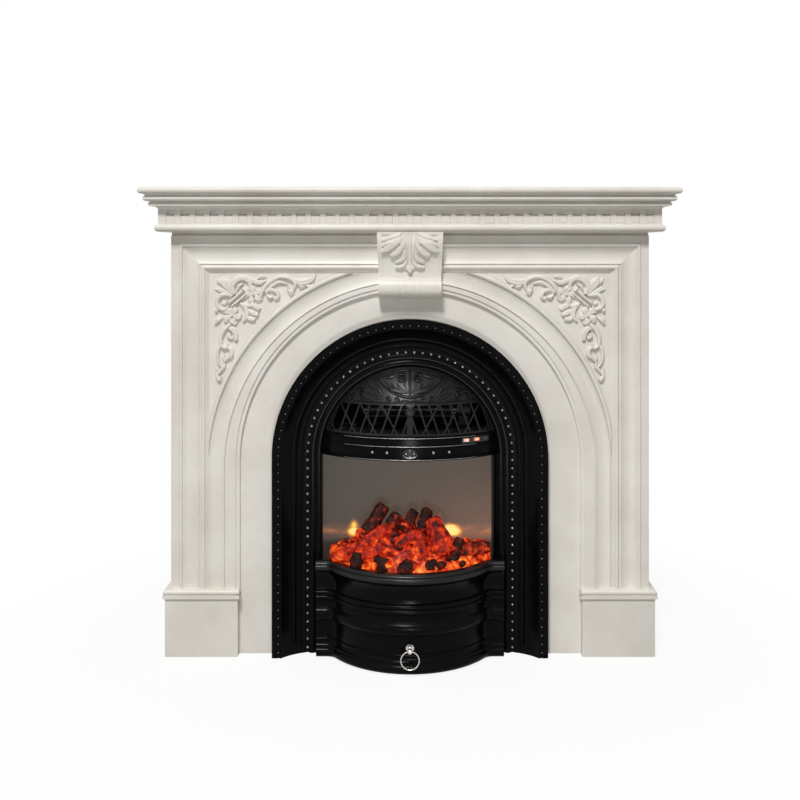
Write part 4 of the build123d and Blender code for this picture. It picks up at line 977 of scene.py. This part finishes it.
def heap(x, ahead):
    front = front_of(x)
    t = min(1.0, max(0.0, (front - ahead) / (front + 18)))
    ridge = between(RIDGE, (x + BED_WIDTH / 2) / BED_WIDTH)
    lumps = noise.voronoi(Vector((x, ahead * 1.1, 0)) / 38)[0]
    rubble = 15.0 * (lumps[1] - lumps[0]) + 3.0 * noise.noise(Vector((x, ahead, 5)) / 14)
    return DECK + ridge * t ** 1.15 * (3 - 2 * t) + min(1.0, 4 * t + 0.25) * rubble


verts = []
faces = []
COLS, ROWS = 150, 60
for i in range(COLS + 1):
    x = -BED_WIDTH / 2 + BED_WIDTH * i / COLS
    front = front_of(x)
    for j in range(ROWS + 1):
        ahead = front - (front + 46) * j / ROWS
        verts.append(at(x, ahead, heap(x, ahead)))
for i in range(COLS):
    for j in range(ROWS):
        a = i * (ROWS + 1) + j
        faces.append((a, a + ROWS + 1, a + ROWS + 2, a + 1))
ember_heap = piece("ember_heap", verts, faces, embers)
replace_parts(ember_heap, "ember_bed")
print("heap peak", round(max(v.z for v in verts) * 1000), "mm above the floor")


# %% Loose coals
def coals(name, count, finish, seed, smallest, largest):
    chance = random.Random(seed)
    verts = []
    faces = []
    for n in range(count):
        x = chance.uniform(-190, 190)
        front = front_of(x)
        ahead = front - 12 - (front + 36) * chance.random()
        size = chance.uniform(smallest, largest)
        squash = Vector((chance.uniform(0.8, 1.5), chance.uniform(0.7, 1.1), chance.uniform(0.6, 1.0)))
        turn = chance.uniform(0, math.pi)
        middle = at(x, ahead, heap(x, ahead) + size * 0.25)
        first = len(verts)
        for v in BALL:
            bump = 1 + 0.38 * noise.noise(v * 1.7 + Vector((n, seed, 0)))
            p = Vector((v.x * squash.x, v.y * squash.y, v.z * squash.z)) * bump * size / 1000
            across = p.x * math.cos(turn) - p.y * math.sin(turn)
            back = p.x * math.sin(turn) + p.y * math.cos(turn)
            verts.append(middle + Vector((across, back, p.z)))
        faces += [[first + i for i in face] for face in BALL_FACES]
    piece(name, verts, faces, finish, smooth_faces=False)


coals("glowing_coals", 40, embers, 7, 8, 14)
coals("charred_coals", 16, char_resin, 11, 8, 13)

# %% [markdown]
# ## Logs
# Three logs lean together over the heap, and lying, bent and charred pieces fill the bed around them. Each
# is a tube with bark ridges that run along it, a knot or two and broken ends.

# %% Branches
AROUND = 20


def branch(name, points, radii, seed, node=None, finish=log_resin):
    spine = smooth(points, 8)
    verts = []
    faces = []
    for i, p in enumerate(spine):
        p0 = Vector(spine[max(i - 1, 0)])
        p1 = Vector(spine[min(i + 1, len(spine) - 1)])
        along = (p1 - p0).normalized()
        side = along.cross(Vector((0, 1, 0))).normalized()
        up = side.cross(along)
        t = i / (len(spine) - 1)
        broken = i in (0, len(spine) - 1)
        for k in range(AROUND):
            turn = 2 * math.pi * k / AROUND
            ridge = noise.noise(Vector((4 * math.cos(turn) + seed, 4 * math.sin(turn), t * 3)))
            knot = noise.noise(Vector((math.cos(turn), math.sin(turn) + seed, t * 6)))
            r = between(radii, t) * (1 + 0.22 * ridge + 0.2 * knot)
            split = 5 * noise.noise(Vector((9 * math.cos(turn), 9 * math.sin(turn), seed))) * broken
            q = Vector(p) + side * r * math.cos(turn) + up * r * math.sin(turn) + along * split
            verts.append(at(q.x, q.y, q.z))
    for i in range(len(spine) - 1):
        for k in range(AROUND):
            a = i * AROUND + k
            b = i * AROUND + (k + 1) % AROUND
            faces.append((a, b, b + AROUND, a + AROUND))
    faces.append(list(range(AROUND)))
    faces.append([len(verts) - 1 - k for k in range(AROUND)])
    stick = piece(name, verts, faces, finish)
    if node:
        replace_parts(stick, node)


branch("leaning_log_left", [(-110, 6, 316), (-90, -4, 346), (-68, -16, 380)], (21, 19, 15), 1, "log_left")
branch("leaning_log_middle", [(-14, 16, 318), (-2, 2, 342), (11, -12, 366)], (16, 15, 13), 2, "log_middle")
branch("leaning_log_right", [(30, 8, 320), (38, -2, 346), (46, -14, 370)], (15, 15, 14), 3, "log_right",
       char_resin)
branch("split_log_left", [(-62, 10, 306), (-46, 0, 334), (-33, -12, 358)], (19, 18, 14), 10)
branch("lying_log_left", [(-199, 34, 258), (-136, 40, 284), (-58, 30, 334)], (11, 16, 15), 17,
       finish=hot_resin)
branch("split_log_centre", [(88, 58, 276), (74, 38, 312), (56, 14, 352)], (30, 27, 19), 12, finish=hot_resin)
branch("bent_log_centre", [(-30, 66, 296), (-2, 58, 318), (24, 56, 312), (26, 74, 262)], (13, 16, 17, 15), 13,
       finish=hot_resin)
branch("bent_log_front", [(-150, 60, 258), (-96, 64, 284), (-48, 60, 300)], (13, 16, 12), 14,
       finish=hot_resin)
branch("upright_stub", [(110, 52, 258), (118, 46, 284), (129, 36, 308)], (15, 15, 12), 4, finish=char_resin)
branch("fallen_log_right", [(126, 34, 272), (164, 22, 278), (203, 6, 280)], (16, 18, 15), 5)
branch("fallen_log_left", [(-203, 6, 254), (-174, 24, 258), (-142, 38, 256)], (12, 15, 11), 6)
branch("charred_stub_left", [(-137, 72, 246), (-134, 72, 264), (-130, 66, 282)], (15, 17, 13), 15,
       finish=char_resin)
branch("charred_stub_middle", [(-70, 88, 242), (-66, 86, 256), (-64, 80, 272)], (17, 19, 15), 8,
       finish=char_resin)
branch("charred_stub_front", [(-26, 100, 240), (-12, 100, 250), (4, 94, 262)], (15, 20, 15), 9,
       finish=char_resin)
branch("charred_chip_right", [(40, 92, 248), (52, 88, 257), (64, 80, 262)], (9, 14, 9), 16, finish=char_resin)
print("logs and sticks are in place")
